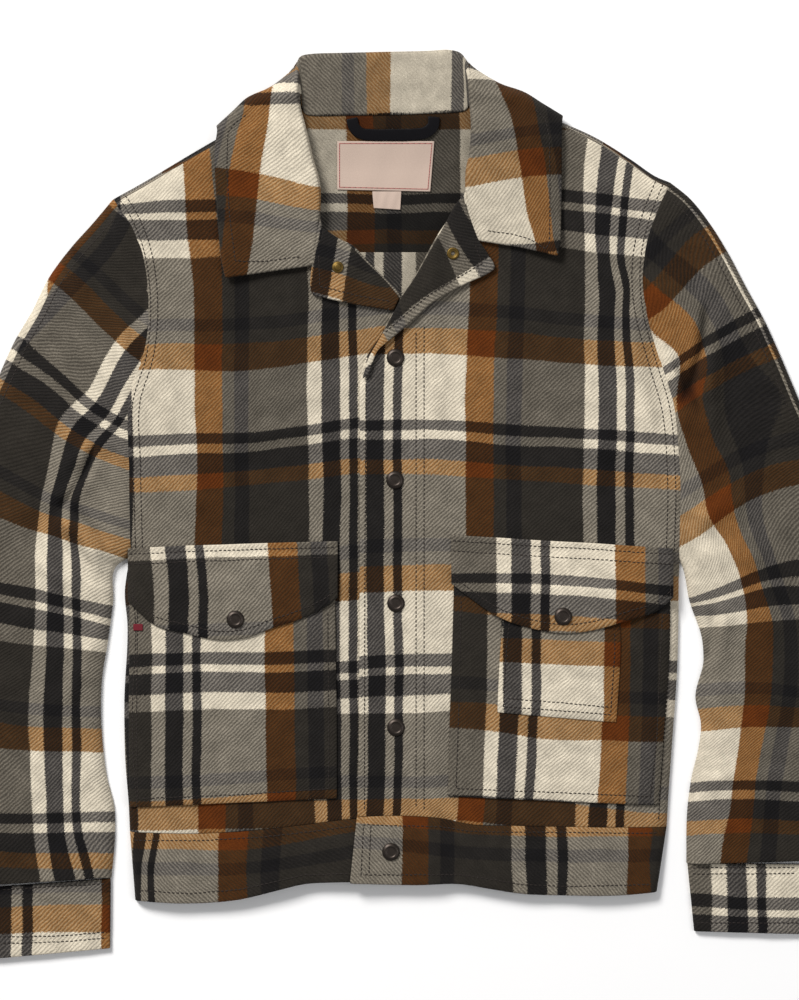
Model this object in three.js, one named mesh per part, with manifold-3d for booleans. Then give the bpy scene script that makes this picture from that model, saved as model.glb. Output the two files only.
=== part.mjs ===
// A plaid wool work coat with snaps, laid flat on its back, fronts up, collar and lapels turned out.
// Millimetres, +Z up. The collar is towards +Y, the wearer's left side towards +X.
import * as THREE from 'three';
import Module from 'manifold-3d';

// ---- named sizes (mm) ----
const SQUARE = 0.86;        // one square of the pattern drawing; the tables count squares, x right, y down
const CENTRE_X = 398.98;    // square at the origin
const CENTRE_Y = 505.12;
const CLOTH = 2.0;          // wool cloth
const GAP = 0.3;            // clearance at seams and between layers
const SLACK = 0.35;         // extra room between curved layers
const LOFT = 2.4;           // how far the top layer lifts off the bottom layer inside the edges
const LOFT_REACH = 42;      // over which distance from the outline
const FOLD_WALL = 1.0;      // centre line of the cloth inside the outline where it turns down
const UNDER_INSET = 3.0;    // back pieces stop this far inside the outline
const NECK_LIFT = 4.8;      // the collar's fall lies under the back neck and lifts it
const LIFT_NEAR = 6, LIFT_FAR = 52;
const LAPEL = 3.6;          // turned-out front: cloth and cut-on facing pressed together
const SEAM_BACK = 7.0;      // sleeve seam, inside the outline
const CAP_R = 7.6, CAP_H = 2.6;
const TAPE = 1.2, LABEL = 0.8;

// ---- tables: each has named columns ----
const table = (text) => {
  const [head, ...rows] = text.trim().split('\n').map((l) => l.trim().split(/\s+/));
  return rows.map((r) => Object.fromEntries(head.map((k, i) => [k, Number(r[i])])));
};

// wearer's right half (low x)
const SHOULDER_R = table(`
  x    y
  112.7 199
  145  181
  182  159
  219  138
  262  114.5
  300  92`);
const ARMHOLE_R = table(`
  x    y
  112.7 199
  121  210
  136  241
  145.4 290
  142  355
  129  398
  129  470
  131  556`);
const SIDE_R = table(`
  x    y
  131  556
  124.5 590
  127  623
  124  703
  125  761
  128.5 807
  129.6 831.5`);
const SLEEVE_OUT_R = table(`
  x    y
  112.7 199
  92   223.6
  72.7 245
  48.5 277.5
  31.5 311.5
  14.5 340.5
  0    372
  -25  430
  -50  490
  -70  550
  -82  610
  -87  670
  -84  740
  -72  812
  -47  889`);
const SLEEVE_IN_R = table(`
  x    y
  131  556
  116  566
  112.5 603
  107  644
  102  675
  101.6 736
  106.6 778
  113.6 806
  114.5 834
  111  878`);
const NECK_R = table(`
  x    y
  300  92
  292  108
  287  130
  293  160
  305  195
  321  227`);
const ROLL_R = table(`
  x    y
  321  227
  350  245
  366  261
  383  278
  401  299
  430  335`);

// wearer's left half (high x)
const SHOULDER_L = table(`
  x    y
  669.5 181.5
  657  176.5
  631  159
  599  139
  558  121
  515  103
  472  85`);
const ARMHOLE_L = table(`
  x    y
  669.5 181.5
  655  217
  645  262
  646.6 306.6
  660  358
  674  405
  680  480
  679  556`);
const SIDE_L = table(`
  x    y
  679  556
  679  585
  677.5 668
  672  749
  668  808
  667  826.5`);
const SLEEVE_OUT_L = table(`
  x    y
  669.5 181.5
  689  197
  712  226
  728  252
  746  286
  764.6 320
  780  354
  798.6 398
  822  450
  844  505
  862  560
  876  620
  884  680
  885  740
  873  805
  845  863`);
const SLEEVE_IN_L = table(`
  x    y
  679  556
  684  570
  689.5 599
  703  642
  704  660
  696  698
  701.5 725
  698.8 749
  692  778
  688  808
  686.8 863`);
const NECK_L = table(`
  x    y
  472  85
  480  106
  487  128
  486  152
  477  176
  464.5 197`);
const ROLL_L = table(`
  x    y
  464.5 197
  443  228
  429  253
  416  275.4
  402  296.5
  393.8 312
  380  338
  368  356
  361.5 376`);

// hem: seam between body and waistband, and the waistband's lower edge
const SEAM_R = table(`
  x    y
  129.6 831.5
  200  832.5
  257  829
  311  823
  356  817.5
  424  817`);
const SEAM_L = table(`
  x    y
  358  815.5
  403  814.7
  442  817.5
  468  823
  515  824.7
  625  826.5
  667  826.5`);
const HEM_R = table(`
  x    y
  135  899.6
  190  902
  240  898
  280  888.4
  303  883
  335  881
  423  883`);
const HEM_L = table(`
  x    y
  351  882
  416  883.5
  462  883
  491  887.6
  523  892.4
  564  894
  625  893.7
  657  891`);

// collar sections, from the middle of the back to the end: neck seam n, roll r, middle of the fall c, free edge f.
// turn: -90 the fall lies under the garment, 0 it stands on edge round the shoulder, 90 it lies on the front.
// roll: 1 folded over at the roll, 0 flat.
const COLLAR_R = table(`
  nx    ny    rx    ry    cx    cy    fx    fy    turn roll
  386   113.5 384   53.5  384   84    384   111   -90  1
  345   114   342   54.5  341   85    338   112   -90  1
  318   114.5 312   55.5  303   88    292   116   -90  1
  306   113   302   57.5  283   95    262   129   -90  1
  302.5 107   299   63    264   102   238   139   -90  1
  300.5 100   297.5 70    252.5 101   221   131.5 -60  1
  300   93    296.5 79    249   99    218.5 127   0    1
  297.5 98    297   90    251   103   219   131   45   1
  292   108   298.5 104   253   111   217   142   90   1
  287   130   304   127   258   136   216.5 166   90   1
  293   160   311.5 158   264   168   218   194   90   1
  305   193   319   190   270   204   220   222   90   1
  321   227   317.5 226   272   234   222   247   90   0.5
  318   246   315.5 246   274   254   224   263   90   0
  312.3 264.5 309.8 265.3 274   270   227   277   90   0`);
const COLLAR_L = table(`
  nx    ny    rx    ry    cx    cy    fx    fy    turn roll
  386   113.5 384   53.5  384   84    384   111   -90  1
  428   112   428   52.5  430   82    432   109   -90  1
  452   111   449   51.5  465   84    474   112   -90  1
  465   109   459   54    486   91    508   123   -90  1
  470   102   464   60    505   97    535   133   -90  1
  471.5 95    467   68    519.5 95    558.6 119.8 -60  1
  472   87    469   77    522.5 93.5  561   117   0    1
  475   93    470   88    521   98    560.6 120.6 65   1
  480   106   471   103   518   109   560   140   90   1
  487   128   472.5 128   517   134   560   162   90   1
  486   152   471   152   516   160   560   184   90   1
  477   176   467   175   515   184   559.5 206   90   1
  465   198   468   199   514.5 207   559   226   90   0.5
  470.5 219   473.5 219.5 515   227   558.5 241   90   0
  479   240   482   240.5 519   246.5 556   255   90   0`);

// patch pockets and flaps on the fronts: x at the left and right edge, y at both ends
const POCKET_R = table(`
  xl    yl    xr    yr
  131   579   334   579
  130.5 650   335   650
  130   740   336   735
  131   806   336   797`);
const FLAP_R = table(`
  x     top   bottom
  129   549.2 601
  155   548   623.5
  186   546.5 632
  222   545.5 639
  249   544.5 636
  272   543.8 627
  300   543   618
  328   542.3 604
  337   542   597`);
const POCKET_L = table(`
  xl    yl    xr    yr
  455   579   669   579
  453   650   668   650
  450   740   662   740
  449   795   657   804`);
const FLAP_L = table(`
  x     top   bottom
  452   535.5 583
  470   537   597
  497   538.5 615
  535   541   628
  562   542.5 632
  592   544   629
  627   546.5 619
  659   548.5 608
  672   549.3 597`);
const POCKET_SMALL = table(`
  xl    yl    xr    yr
  504   610   619   610
  501   650   619   655
  498   711   615   721`);

// turned-out lapels: the roll line and the free edge, from the break up to the gorge
const LAPEL_L = table(`
  rx    ry    ex    ey
  364   377   368   374
  370   358   377   351.5
  381   340   388   340.5
  395   314   409   322
  403   298.5 430   303.5
  417   277.5 464   284
  430   255   487   273
  444   230   493   265
  456   207   477.3 241.5
  463   199   466   212`);
const LAPEL_R = table(`
  rx    ry    ex    ey
  398   298.5 393   309.5
  382   280   354.5 303.5
  365   263.5 325   297
  349   247.5 313   292
  334   238   313   267
  324   231   319   248`);

// ---- small helpers ----
const mm = (x, y) => [(x - CENTRE_X) * SQUARE, (CENTRE_Y - y) * SQUARE];
const mix = (a, b, t) => a + (b - a) * t;
const clamp01 = (t) => Math.min(1, Math.max(0, t));
const smooth = (t) => { const c = clamp01(t); return c * c * (3 - 2 * c); };
const along = (rows, kx = 'x', ky = 'y') => {          // point at a fraction of the length
  const p = rows.map((r) => [r[kx], r[ky]]);
  const len = [0];
  for (let i = 1; i < p.length; i++) len.push(len[i - 1] + Math.hypot(p[i][0] - p[i - 1][0], p[i][1] - p[i - 1][1]));
  return (t) => {
    const d = clamp01(t) * len[len.length - 1];
    let i = 1;
    while (i < p.length - 1 && len[i] < d) i++;
    const k = (d - len[i - 1]) / (len[i] - len[i - 1]);
    return [mix(p[i - 1][0], p[i][0], k), mix(p[i - 1][1], p[i][1], k)];
  };
};
const reversed = (rows) => [...rows].reverse();
const atX = (rows, x, key = 'y') => {
  let i = 1;
  while (i < rows.length - 1 && rows[i].x < x) i++;
  return mix(rows[i - 1][key], rows[i][key], clamp01((x - rows[i - 1].x) / (rows[i].x - rows[i - 1].x)));
};
const distance = (lines, x, y) => {                     // mm from a point to the nearest polyline
  let best = 1e9;
  for (const l of lines) for (let i = 1; i < l.length; i++) {
    const a = l[i - 1], b = l[i], dx = b.x - a.x, dy = b.y - a.y;
    const t = clamp01(((x - a.x) * dx + (y - a.y) * dy) / (dx * dx + dy * dy));
    best = Math.min(best, Math.hypot(x - a.x - t * dx, y - a.y - t * dy));
  }
  return best * SQUARE;
};

// ---- heights of the layers, as functions of the place in the drawing ----
const OUTLINE = [SHOULDER_R, SLEEVE_OUT_R, SLEEVE_IN_R, SIDE_R, SHOULDER_L, SLEEVE_OUT_L, SLEEVE_IN_L, SIDE_L];
const NECK_BAND = [table(`
  x    y
  224  135
  262  114
  300  97
  306  112
  386  112
  466  108
  472  92
  515  104
  555  122`)];
const lift = (x, y) => NECK_LIFT * (1 - smooth((distance(NECK_BAND, x, y) - LIFT_NEAR) / (LIFT_FAR - LIFT_NEAR)));
const loft = (x, y) => LOFT * (1 - Math.exp(-distance(OUTLINE, x, y) / LOFT_REACH));
const backZ = (x, y) => CLOTH / 2 + lift(x, y);                               // middle of the back layer
const frontZ = (x, y) => lift(x, y) + CLOTH * 1.5 + GAP + loft(x, y);          // middle of the right front
const LAP_END = 431, LAP_CLEAR = 451;
const lapZ = (x, y) => frontZ(x, y) + (CLOTH + GAP + 0.1) * (1 - smooth((x - LAP_END) / (LAP_CLEAR - LAP_END)));
const onFront = (x, y) => (x > 400 ? lapZ(x, y) : frontZ(x, y));
const LAYER = CLOTH + GAP + 0.2;

// ---- a sheet of cloth: a grid of centre points given a thickness along its normals, closed all round ----
function sheet(mid, cols, rows, thick, wrap = false, shift = 0, even = 0) {
  const P = [];
  for (let j = 0; j <= rows; j++) for (let i = 0; i <= cols; i++) P.push(new THREE.Vector3(...mid(i, j)));
  const at = (i, j) => P[j * (cols + 1) + i];
  let N = P.map((_, k) => {
    const i = k % (cols + 1), j = Math.floor(k / (cols + 1));
    const im = wrap && i === 0 ? cols - 1 : Math.max(i - 1, 0), ip = wrap && i === cols ? 1 : Math.min(i + 1, cols);
    const du = at(ip, j).clone().sub(at(im, j)).normalize();
    const dv = at(i, Math.min(j + 1, rows)).clone().sub(at(i, Math.max(j - 1, 0))).normalize();
    return du.cross(dv).normalize();
  });
  for (let pass = 0; pass < even; pass++) N = N.map((n, k) => {     // even out the normals where a fold twists
    const i = k % (cols + 1), j = Math.floor(k / (cols + 1)), id = (a, b) => b * (cols + 1) + a;
    const sum = n.clone().multiplyScalar(2);
    for (const [a, b] of [[i - 1, j], [i + 1, j], [i, j - 1], [i, j + 1]]) if (a >= 0 && a <= cols && b >= 0 && b <= rows) sum.add(N[id(a, b)]);
    return sum.normalize();
  });
  const pos = [];
  for (const side of [0.5, -0.5]) P.forEach((p, k) => {
    const q = p.clone().addScaledVector(N[k], side * thick + shift);
    pos.push(q.x, q.y, q.z);
  });
  const n = P.length, idx = [], id = (s, i, j) => s * n + j * (cols + 1) + (wrap && i === cols ? 0 : i);
  const quad = (a, b, c, d) => idx.push(a, b, c, a, c, d);
  for (let j = 0; j < rows; j++) for (let i = 0; i < cols; i++) {
    quad(id(0, i, j), id(0, i + 1, j), id(0, i + 1, j + 1), id(0, i, j + 1));
    quad(id(1, i, j), id(1, i, j + 1), id(1, i + 1, j + 1), id(1, i + 1, j));
  }
  for (let i = 0; i < cols; i++) {
    quad(id(0, i, 0), id(1, i, 0), id(1, i + 1, 0), id(0, i + 1, 0));
    quad(id(0, i, rows), id(0, i + 1, rows), id(1, i + 1, rows), id(1, i, rows));
  }
  if (!wrap) for (let j = 0; j < rows; j++) {
    quad(id(0, 0, j), id(0, 0, j + 1), id(1, 0, j + 1), id(1, 0, j));
    quad(id(0, cols, j), id(1, cols, j), id(1, cols, j + 1), id(0, cols, j + 1));
  }
  // drop unused points of a wrapped sheet, and face outwards
  const used = new Map(), out = [];
  const tri = idx.map((k) => {
    if (!used.has(k)) { used.set(k, used.size); out.push(pos[3 * k], pos[3 * k + 1], pos[3 * k + 2]); }
    return used.get(k);
  });
  let vol = 0;
  const v = (k) => new THREE.Vector3(out[3 * k], out[3 * k + 1], out[3 * k + 2]);
  for (let k = 0; k < tri.length; k += 3) vol += v(tri[k]).dot(v(tri[k + 1]).cross(v(tri[k + 2])));
  if (vol < 0) for (let k = 0; k < tri.length; k += 3) [tri[k + 1], tri[k + 2]] = [tri[k + 2], tri[k + 1]];
  const g = new THREE.BufferGeometry();
  g.setAttribute('position', new THREE.Float32BufferAttribute(out, 3));
  g.setIndex(tri);
  g.computeVertexNormals();
  return g;
}

// ---- colours of the plaid as a whole, and of the trim ----
const wool = (hex) => new THREE.MeshStandardMaterial({ color: hex, roughness: 0.95, metalness: 0 });
const CHARCOAL = wool(0x5b5049), CREAM = wool(0xbdb09a), OCHRE = wool(0x8a6238), GREY = wool(0x7b736c);
const BLACK_TAPE = new THREE.MeshStandardMaterial({ color: 0x17161a, roughness: 0.6, metalness: 0 });
const LABEL_WHITE = new THREE.MeshStandardMaterial({ color: 0xe6d9d2, roughness: 0.8, metalness: 0 });
const TAB_RED = new THREE.MeshStandardMaterial({ color: 0x7a2030, roughness: 0.8, metalness: 0 });
const SNAP_METAL = new THREE.MeshStandardMaterial({ color: 0x4a4642, roughness: 0.45, metalness: 0.8 });
const BRASS = new THREE.MeshStandardMaterial({ color: 0xa8894a, roughness: 0.35, metalness: 0.9 });

const coat = new THREE.Group();
const add = (name, geometry, material) => {
  const m = new THREE.Mesh(geometry, material);
  m.name = name;
  coat.add(m);
  return m;
};

// a four-sided patch between curves: low and high run with t, side0 and side1 run with s
const patch = (low, high, side0, side1) => (t, s) => [0, 1].map((k) => {
  const c = [low(0)[k], low(1)[k], high(0)[k], high(1)[k]];
  return (1 - s) * low(t)[k] + s * high(t)[k] + (1 - t) * side0(s)[k] + t * side1(s)[k]
    - ((1 - s) * (1 - t) * c[0] + (1 - s) * t * c[1] + s * (1 - t) * c[2] + s * t * c[3]);
});

// How the cloth turns down at the outline: distance inside it (mm) and share of the full height
const TURN_DOWN = table(`
  d    share
  1.0  0.06
  1.06 0.50
  2.1  0.86
  4.6  0.97
  9.0  1.0`);
const FLAT_EDGE = [0.15, 0.9, 2.4, 5.0, 9.0];          // the same columns where a seam is flat

// ---- fronts: sections from the hem seam up; a is on the side or armhole, b on the front edge, roll or neckline ----
const FRONT_R = table(`
  ax    ay    bx    by
  129.6 831.5 424 817
  128.5 807   424 785
  125   761   424 735
  124   703   424 680
  127   623   424 610
  124.5 590   424 560
  131   556   424 510
  130   513   424 460
  129   470   420 400
  129   434   413 331
  129   398   401   299
  142   355   383   278
  143.7 322.5 366   261
  145.4 290   350   245
  141.5 270   315.5 230
  136   241   302.8 195
  128.5 225.5 290.6 161
  121   210   284.6 130`);
const FRONT_L = table(`
  ax    ay    bx    by
  667   826.5 358.4 815.5
  668   808   359   785
  672   749   360   735
  674.7 709   360.3 680
  677.5 668   360.6 620
  679   585   360.8 560
  677.8 556   361   510
  679.5 518   361.2 450
  680   480   361.9 376
  677   442   368.4 356
  674   405   380.4 338
  660   358   394.2 312
  653.3 332   416.4 275.4
  646.6 306.6 443.4 228
  645   262   468.6 199.6
  650   239.5 481.4 177.8
  655   217   488.7 153
  660   205   490   128`);
function front(name, sections, seam, shoulder, tip, neckPoint, nearTip, nearNeck, tipDepth, neckDepth, columns, zOf, material) {
  const nTurn = TURN_DOWN.length, nRows = sections.length;
  const cols = nTurn + columns.length - 2, rows = nRows + nTurn - 1;
  const geometry = sheet((i, j) => {
    // the last rows turn down behind the shoulder
    let a, b, shareTop = 1;
    if (j < nRows) { const r = sections[j]; a = [r.ax, r.ay]; b = [r.bx, r.by]; }
    else {
      const r = TURN_DOWN[rows - j];
      a = [mix(tip.x, nearTip.x, r.d / tipDepth), mix(tip.y, nearTip.y, r.d / tipDepth)];
      b = [mix(neckPoint.x, nearNeck.x, r.d / neckDepth), mix(neckPoint.y, nearNeck.y, r.d / neckDepth)];
      shareTop = r.share;
    }
    const width = Math.hypot(a[0] - b[0], a[1] - b[1]) * SQUARE;
    const flat = 1 - smooth((a[1] - 556) / 34);           // 1 along the armhole, 0 along the side
    let t, shareSide = 1;
    if (i < nTurn) {
      const r = TURN_DOWN[i];
      t = mix(r.d, FLAT_EDGE[i], flat) / width;
      shareSide = mix(r.share, 1, flat);
    } else t = mix(TURN_DOWN[nTurn - 1].d / width, 1, columns[i - nTurn + 1]);
    // the first rows follow the curved hem seam, the last ones the shoulder line
    const x = mix(a[0], b[0], t), nearSeam = Math.max(0, 1 - j / 3), nearTop = clamp01((j - (nRows - 5)) / 5);
    const first = sections[0], hemBulge = atX(seam, x) - mix(first.ay, first.by, (x - first.ax) / (first.bx - first.ax));
    const topBulge = atX(shoulder, x) - mix(tip.y, neckPoint.y, clamp01((x - tip.x) / (neckPoint.x - tip.x)));
    const y = mix(a[1], b[1], t) + hemBulge * nearSeam + topBulge * nearTop - (j === 0 ? 0.35 : 0), base = lift(x, y), z = zOf(x, y);
    return [...mm(x, y), base + 0.02 + (z - base) * shareTop * shareSide];
  }, cols, rows, CLOTH);
  add(name, geometry, material);
}
front('front_right', FRONT_R, SEAM_R, SHOULDER_R, SHOULDER_R[0], { x: 297.6, y: 92.8 }, ARMHOLE_R[1], { x: 289.6, y: 108 }, 11.7, 8.5,
  [0, 0.22, 0.44, 0.66, 0.84, 1], frontZ, GREY);
front('front_left', FRONT_L, SEAM_L, reversed(SHOULDER_L), SHOULDER_L[0], { x: 475.4, y: 86.4 }, ARMHOLE_L[1], { x: 483.4, y: 106 }, 29.0, 14.0,
  [0, 0.2, 0.42, 0.6, 0.69, 0.735, 0.775, 0.89, 1], lapZ, CREAM);

// ---- back yoke and back ----
const BACK_SEAM_Y = 252;
const SHOULDER_BEHIND = 7.6;    // squares: the yoke stops behind the front's turned-down edge
const YOKE_TOP = table(`
  x    y    in
  112.7 199  1
  145  181  1
  182  159  1
  219  138  1
  262  114.5 1
  292  97   1
  300  108  0
  307  116.4 0
  318  116.8 0
  345  116.2 0
  386  115.6 0
  428  114.4 0
  463  113.2 0
  471  106  0
  478  88   1
  515  103  1
  558  121  1
  599  139  1
  631  159  1
  657  176.5 1
  669.5 181.5 1`);
const cut = (rows, y0, y1) => {                           // the part of a seam between two heights, with its vertices
  const xAt = (y) => { let i = 1; while (i < rows.length - 1 && rows[i].y < y) i++; return mix(rows[i - 1].x, rows[i].x, clamp01((y - rows[i - 1].y) / (rows[i].y - rows[i - 1].y))); };
  return [{ x: xAt(y0), y: y0 }, ...rows.filter((r) => r.y > y0 && r.y < y1), { x: xAt(y1), y: y1 }];
};
const fractions = (rows) => {
  const len = [0];
  for (let i = 1; i < rows.length; i++) len.push(len[i - 1] + Math.hypot(rows[i].x - rows[i - 1].x, rows[i].y - rows[i - 1].y));
  return len.map((l) => l / len[len.length - 1]);
};
{
  const left = cut(ARMHOLE_R, 202.5, BACK_SEAM_Y), right = cut(ARMHOLE_L, 188, BACK_SEAM_Y);
  const steps = [...new Set([...fractions(left), ...fractions(right), 0.12, 0.32].map((f) => Math.round(f * 1e4) / 1e4))].sort((p, q) => p - q);
  const fl = along(left), fr = along(right), cols = YOKE_TOP.length - 1;
  add('back_yoke', sheet((i, j) => {
    const s = steps[j], r = YOKE_TOP[i], t = (r.x - 112.7) / (669.5 - 112.7);
    const a = fl(s), b = fr(s), top = r.y + (r.in ? SHOULDER_BEHIND : 0);
    if (i === 0) return [...mm(a[0] + 0.3, a[1]), backZ(a[0], a[1])];
    if (i === cols) return [...mm(b[0] - 0.3, b[1]), backZ(b[0], b[1])];
    const x = mix(r.x, mix(left[left.length - 1].x, right[right.length - 1].x, t), s), y = mix(top, BACK_SEAM_Y - 0.2, s);
    return [...mm(x, y), backZ(x, y)];
  }, cols, steps.length - 1, CLOTH), GREY);
}
{
  const armL = cut(ARMHOLE_R, BACK_SEAM_Y + 0.3, 556), armR = cut(ARMHOLE_L, BACK_SEAM_Y + 0.3, 556);
  const sideL = SIDE_R.slice(1), sideR = SIDE_L.slice(1), cols = 4;
  const rowsOf = (arm, side, sign) => [...arm.map((r) => ({ x: r.x + sign * (r.y > 540 ? 2.4 : 0.3), y: r.y })),
    ...side.map((r) => ({ x: r.x + sign * (UNDER_INSET + 0.3) / SQUARE, y: r.y - 0.4 }))];
  const L = rowsOf(armL, sideL, 1), R = rowsOf(armR, sideR, -1);
  const steps = [...new Set([...fractions(L), ...fractions(R)].map((f) => Math.round(f * 1e4) / 1e4))].sort((p, q) => p - q);
  const fl = along(L), fr = along(R);
  add('back', sheet((i, j) => {
    const a = fl(steps[j]), b = fr(steps[j]);
    return [...mm(mix(a[0], b[0], i / cols), mix(a[1], b[1], i / cols)), CLOTH / 2];
  }, cols, steps.length - 1, CLOTH), CHARCOAL);
}

// ---- sleeves: the front sleeve runs from the seam near the outer edge to the inner edge, where it turns down;
//      the back sleeve lies flat, rolls up round the outer edge and meets the seam on top ----
const ROLL_UP = table(`
  d    share
  6.0  0
  2.5  0.10
  1.0  0.5
  2.3  0.9
  6.7  1`);
const SLEEVE_INSET = 4.2;   // the back sleeve stops this far inside the inner edge
function sleeve(side, arm, out, inn) {
  const armhole = along(arm), outer = along(out), inner = along(inn);
  const cuffLine = along([out[out.length - 1], inn[inn.length - 1]]);
  const area = patch(armhole, cuffLine, outer, inner), stations = fractions(arm).slice(1, -1);
  const rowsAt = [0, 0.03, 0.08, 0.15, 0.24, 0.35, 0.48, 0.61, 0.74, 0.87, 1];
  const rows = rowsAt.length - 1;
  const place = (s, t, d) => {                           // t of the width, then d mm across from there
    const p = area(t, s), q0 = area(Math.max(0, t - 0.004), s), q1 = area(Math.min(1, t + 0.004), s), a = outer(s), b = inner(s);
    const unit = (u, v) => { const l = Math.hypot(v[0] - u[0], v[1] - u[1]); return [(v[0] - u[0]) / l, (v[1] - u[1]) / l]; };
    const T = unit(q0, q1), edge = t < 0.5 ? outer : inner, E = unit(edge(Math.max(0, s - 0.01)), edge(Math.min(1, s + 0.01)));
    const sign = E[1] * (b[0] - a[0]) - E[0] * (b[1] - a[1]) > 0 ? 1 : -1, N = [sign * E[1], -sign * E[0]], w = smooth(s / 0.05);
    return [p[0] + mix(T[0], N[0], w) * d / SQUARE, p[1] + mix(T[1], N[1], w) * d / SQUARE];
  };
  const station = (k, s) => mix(stations[k], (k + 1) / (stations.length + 1), smooth(s / 0.12));
  const sOf = (j) => mix(0.0009, 0.9992, rowsAt[j]);
  const inSteps = [...TURN_DOWN].reverse();
  add(`sleeve_${side}_front`, sheet((i, j) => {
    const s = sOf(j);
    let p, share = 1;
    if (i === 0) p = place(s, 0, SEAM_BACK + 0.25);
    else if (i <= stations.length) p = place(s, station(i - 1, s), 0);
    else { const r = inSteps[i - stations.length - 1]; p = place(s, 1, -r.d); share = r.share; }
    const z = frontZ(p[0], p[1]), base = lift(p[0], p[1]);
    return [...mm(...p), base + 0.02 + (z - base) * share];
  }, stations.length + inSteps.length, rows, CLOTH), CHARCOAL);
  const n = stations.length;
  add(`sleeve_${side}_back`, sheet((i, j) => {
    const s = sOf(j);
    let p, share = 0;
    if (i === 0) p = place(s, 1, -SLEEVE_INSET - 5 * (1 - smooth(s / 0.16)));
    else if (i <= n) p = place(s, station(n - i, s), 0);
    else { const r = ROLL_UP[i - n - 1]; p = place(s, 0, r.d); share = r.share; }
    return [...mm(...p), mix(CLOTH / 2, frontZ(p[0], p[1]), share)];
  }, n + ROLL_UP.length, rows, CLOTH), OCHRE);
}
sleeve('right', ARMHOLE_R, SLEEVE_OUT_R, SLEEVE_IN_R);
sleeve('left', ARMHOLE_L, SLEEVE_OUT_L, SLEEVE_IN_L);

// ---- cuffs: a closed band pressed flat ----
const CUFFS = table(`
  side  xa   ya    xb    yb    ha    hb
  0     -41  890.6 110.6 879.2 70    68
  1     687.6 864.2 841  865   66    69`);
const CUFF_TILT = [{ a: [-0.01, 1], b: [-0.008, 1] }, { a: [0.1, 1], b: [0.03, 1] }];
for (const c of CUFFS) {
  const name = c.side === 0 ? 'cuff_right' : 'cuff_left', tilt = CUFF_TILT[c.side];
  const len = Math.hypot(c.xb - c.xa, c.yb - c.ya) * SQUARE, half = 1.45, zLow = CLOTH / 2, zTop = CLOTH / 2 + 2 * half + 0.2;
  const path = [];                                       // distance along and height, once round
  for (let k = 0; k <= 4; k++) path.push([mix(2.6, len - 2.6, k / 4), zTop]);
  path.push([len - 1.35, mix(zTop, zLow, 0.12)], [len - 1, (zTop + zLow) / 2], [len - 1.35, mix(zTop, zLow, 0.88)]);
  for (let k = 0; k <= 4; k++) path.push([mix(len - 2.6, 2.6, k / 4), zLow]);
  path.push([1.35, mix(zLow, zTop, 0.12)], [1, (zTop + zLow) / 2], [1.35, mix(zLow, zTop, 0.88)]);
  add(name, sheet((i, j) => {
    const [d, z] = path[i % path.length], k = d / len, v = j / 2;
    const h = mix(c.ha, c.hb, k) * v + 0.4;
    const tx = mix(tilt.a[0], tilt.b[0], k);
    return [...mm(mix(c.xa, c.xb, k) + tx * h, mix(c.ya, c.yb, k) + h), z];
  }, path.length, 2, CLOTH - 0.1, true), CREAM);
}

// ---- waistband ----
function band(name, seam, hem, wall, zOf, material, bottom = false) {
  const list = wall === 'low' ? [0, 1, 2, 3, 4] : wall === 'high' ? [4, 3, 2, 1, 0] : [];
  const inner = 8;
  const cols = inner + (wall ? TURN_DOWN.length - 1 : 0);
  const a = seam[0].x, b = seam[seam.length - 1].x, ha = hem[0].x, hb = hem[hem.length - 1].x;
  add(name, sheet((i, j) => {
    const v = j / 3, lenTop = b - a, span = lenTop * SQUARE;
    let t, share = 1;
    if (wall === 'low') {
      if (i < 5) { t = TURN_DOWN[i].d / span; share = TURN_DOWN[i].share; } else t = mix(TURN_DOWN[4].d / span, 1, (i - 4) / inner);
    } else if (wall === 'high') {
      if (i > cols - 5) { const r = TURN_DOWN[cols - i]; t = 1 - r.d / span; share = r.share; } else t = mix(0, 1 - TURN_DOWN[4].d / span, i / (cols - 4));
    } else t = i / cols;
    const inset = bottom ? UNDER_INSET / span : 0;
    const tt = bottom ? mix(inset, 1 - inset, t) : t;
    const xs = mix(a, b, tt), xh = mix(ha, hb, tt);
    const ys = atX(seam, xs) + 0.2, yh = atX(hem, xh);
    const x = mix(xs, xh, v), y = mix(ys, yh, v);
    return [...mm(x, y), 0.02 + (zOf(x, Math.min(y, 826)) - 0.02) * share];
  }, cols, 3, CLOTH), material);
}
band('waistband_right', SEAM_R, HEM_R, 'low', (x, y) => frontZ(x, y), CHARCOAL);
band('waistband_left', SEAM_L, HEM_L, 'high', (x, y) => lapZ(x, y), OCHRE);
band('waistband_back', [{ x: 129.6, y: 831.5 }, { x: 667, y: 826.5 }], table(`
  x    y
  135  897
  200  898.5
  266  888
  331  878.5
  396  879.5
  462  880.5
  527  888.5
  592  890.5
  657  888.5`), '', () => CLOTH / 2, CHARCOAL, true);

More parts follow.
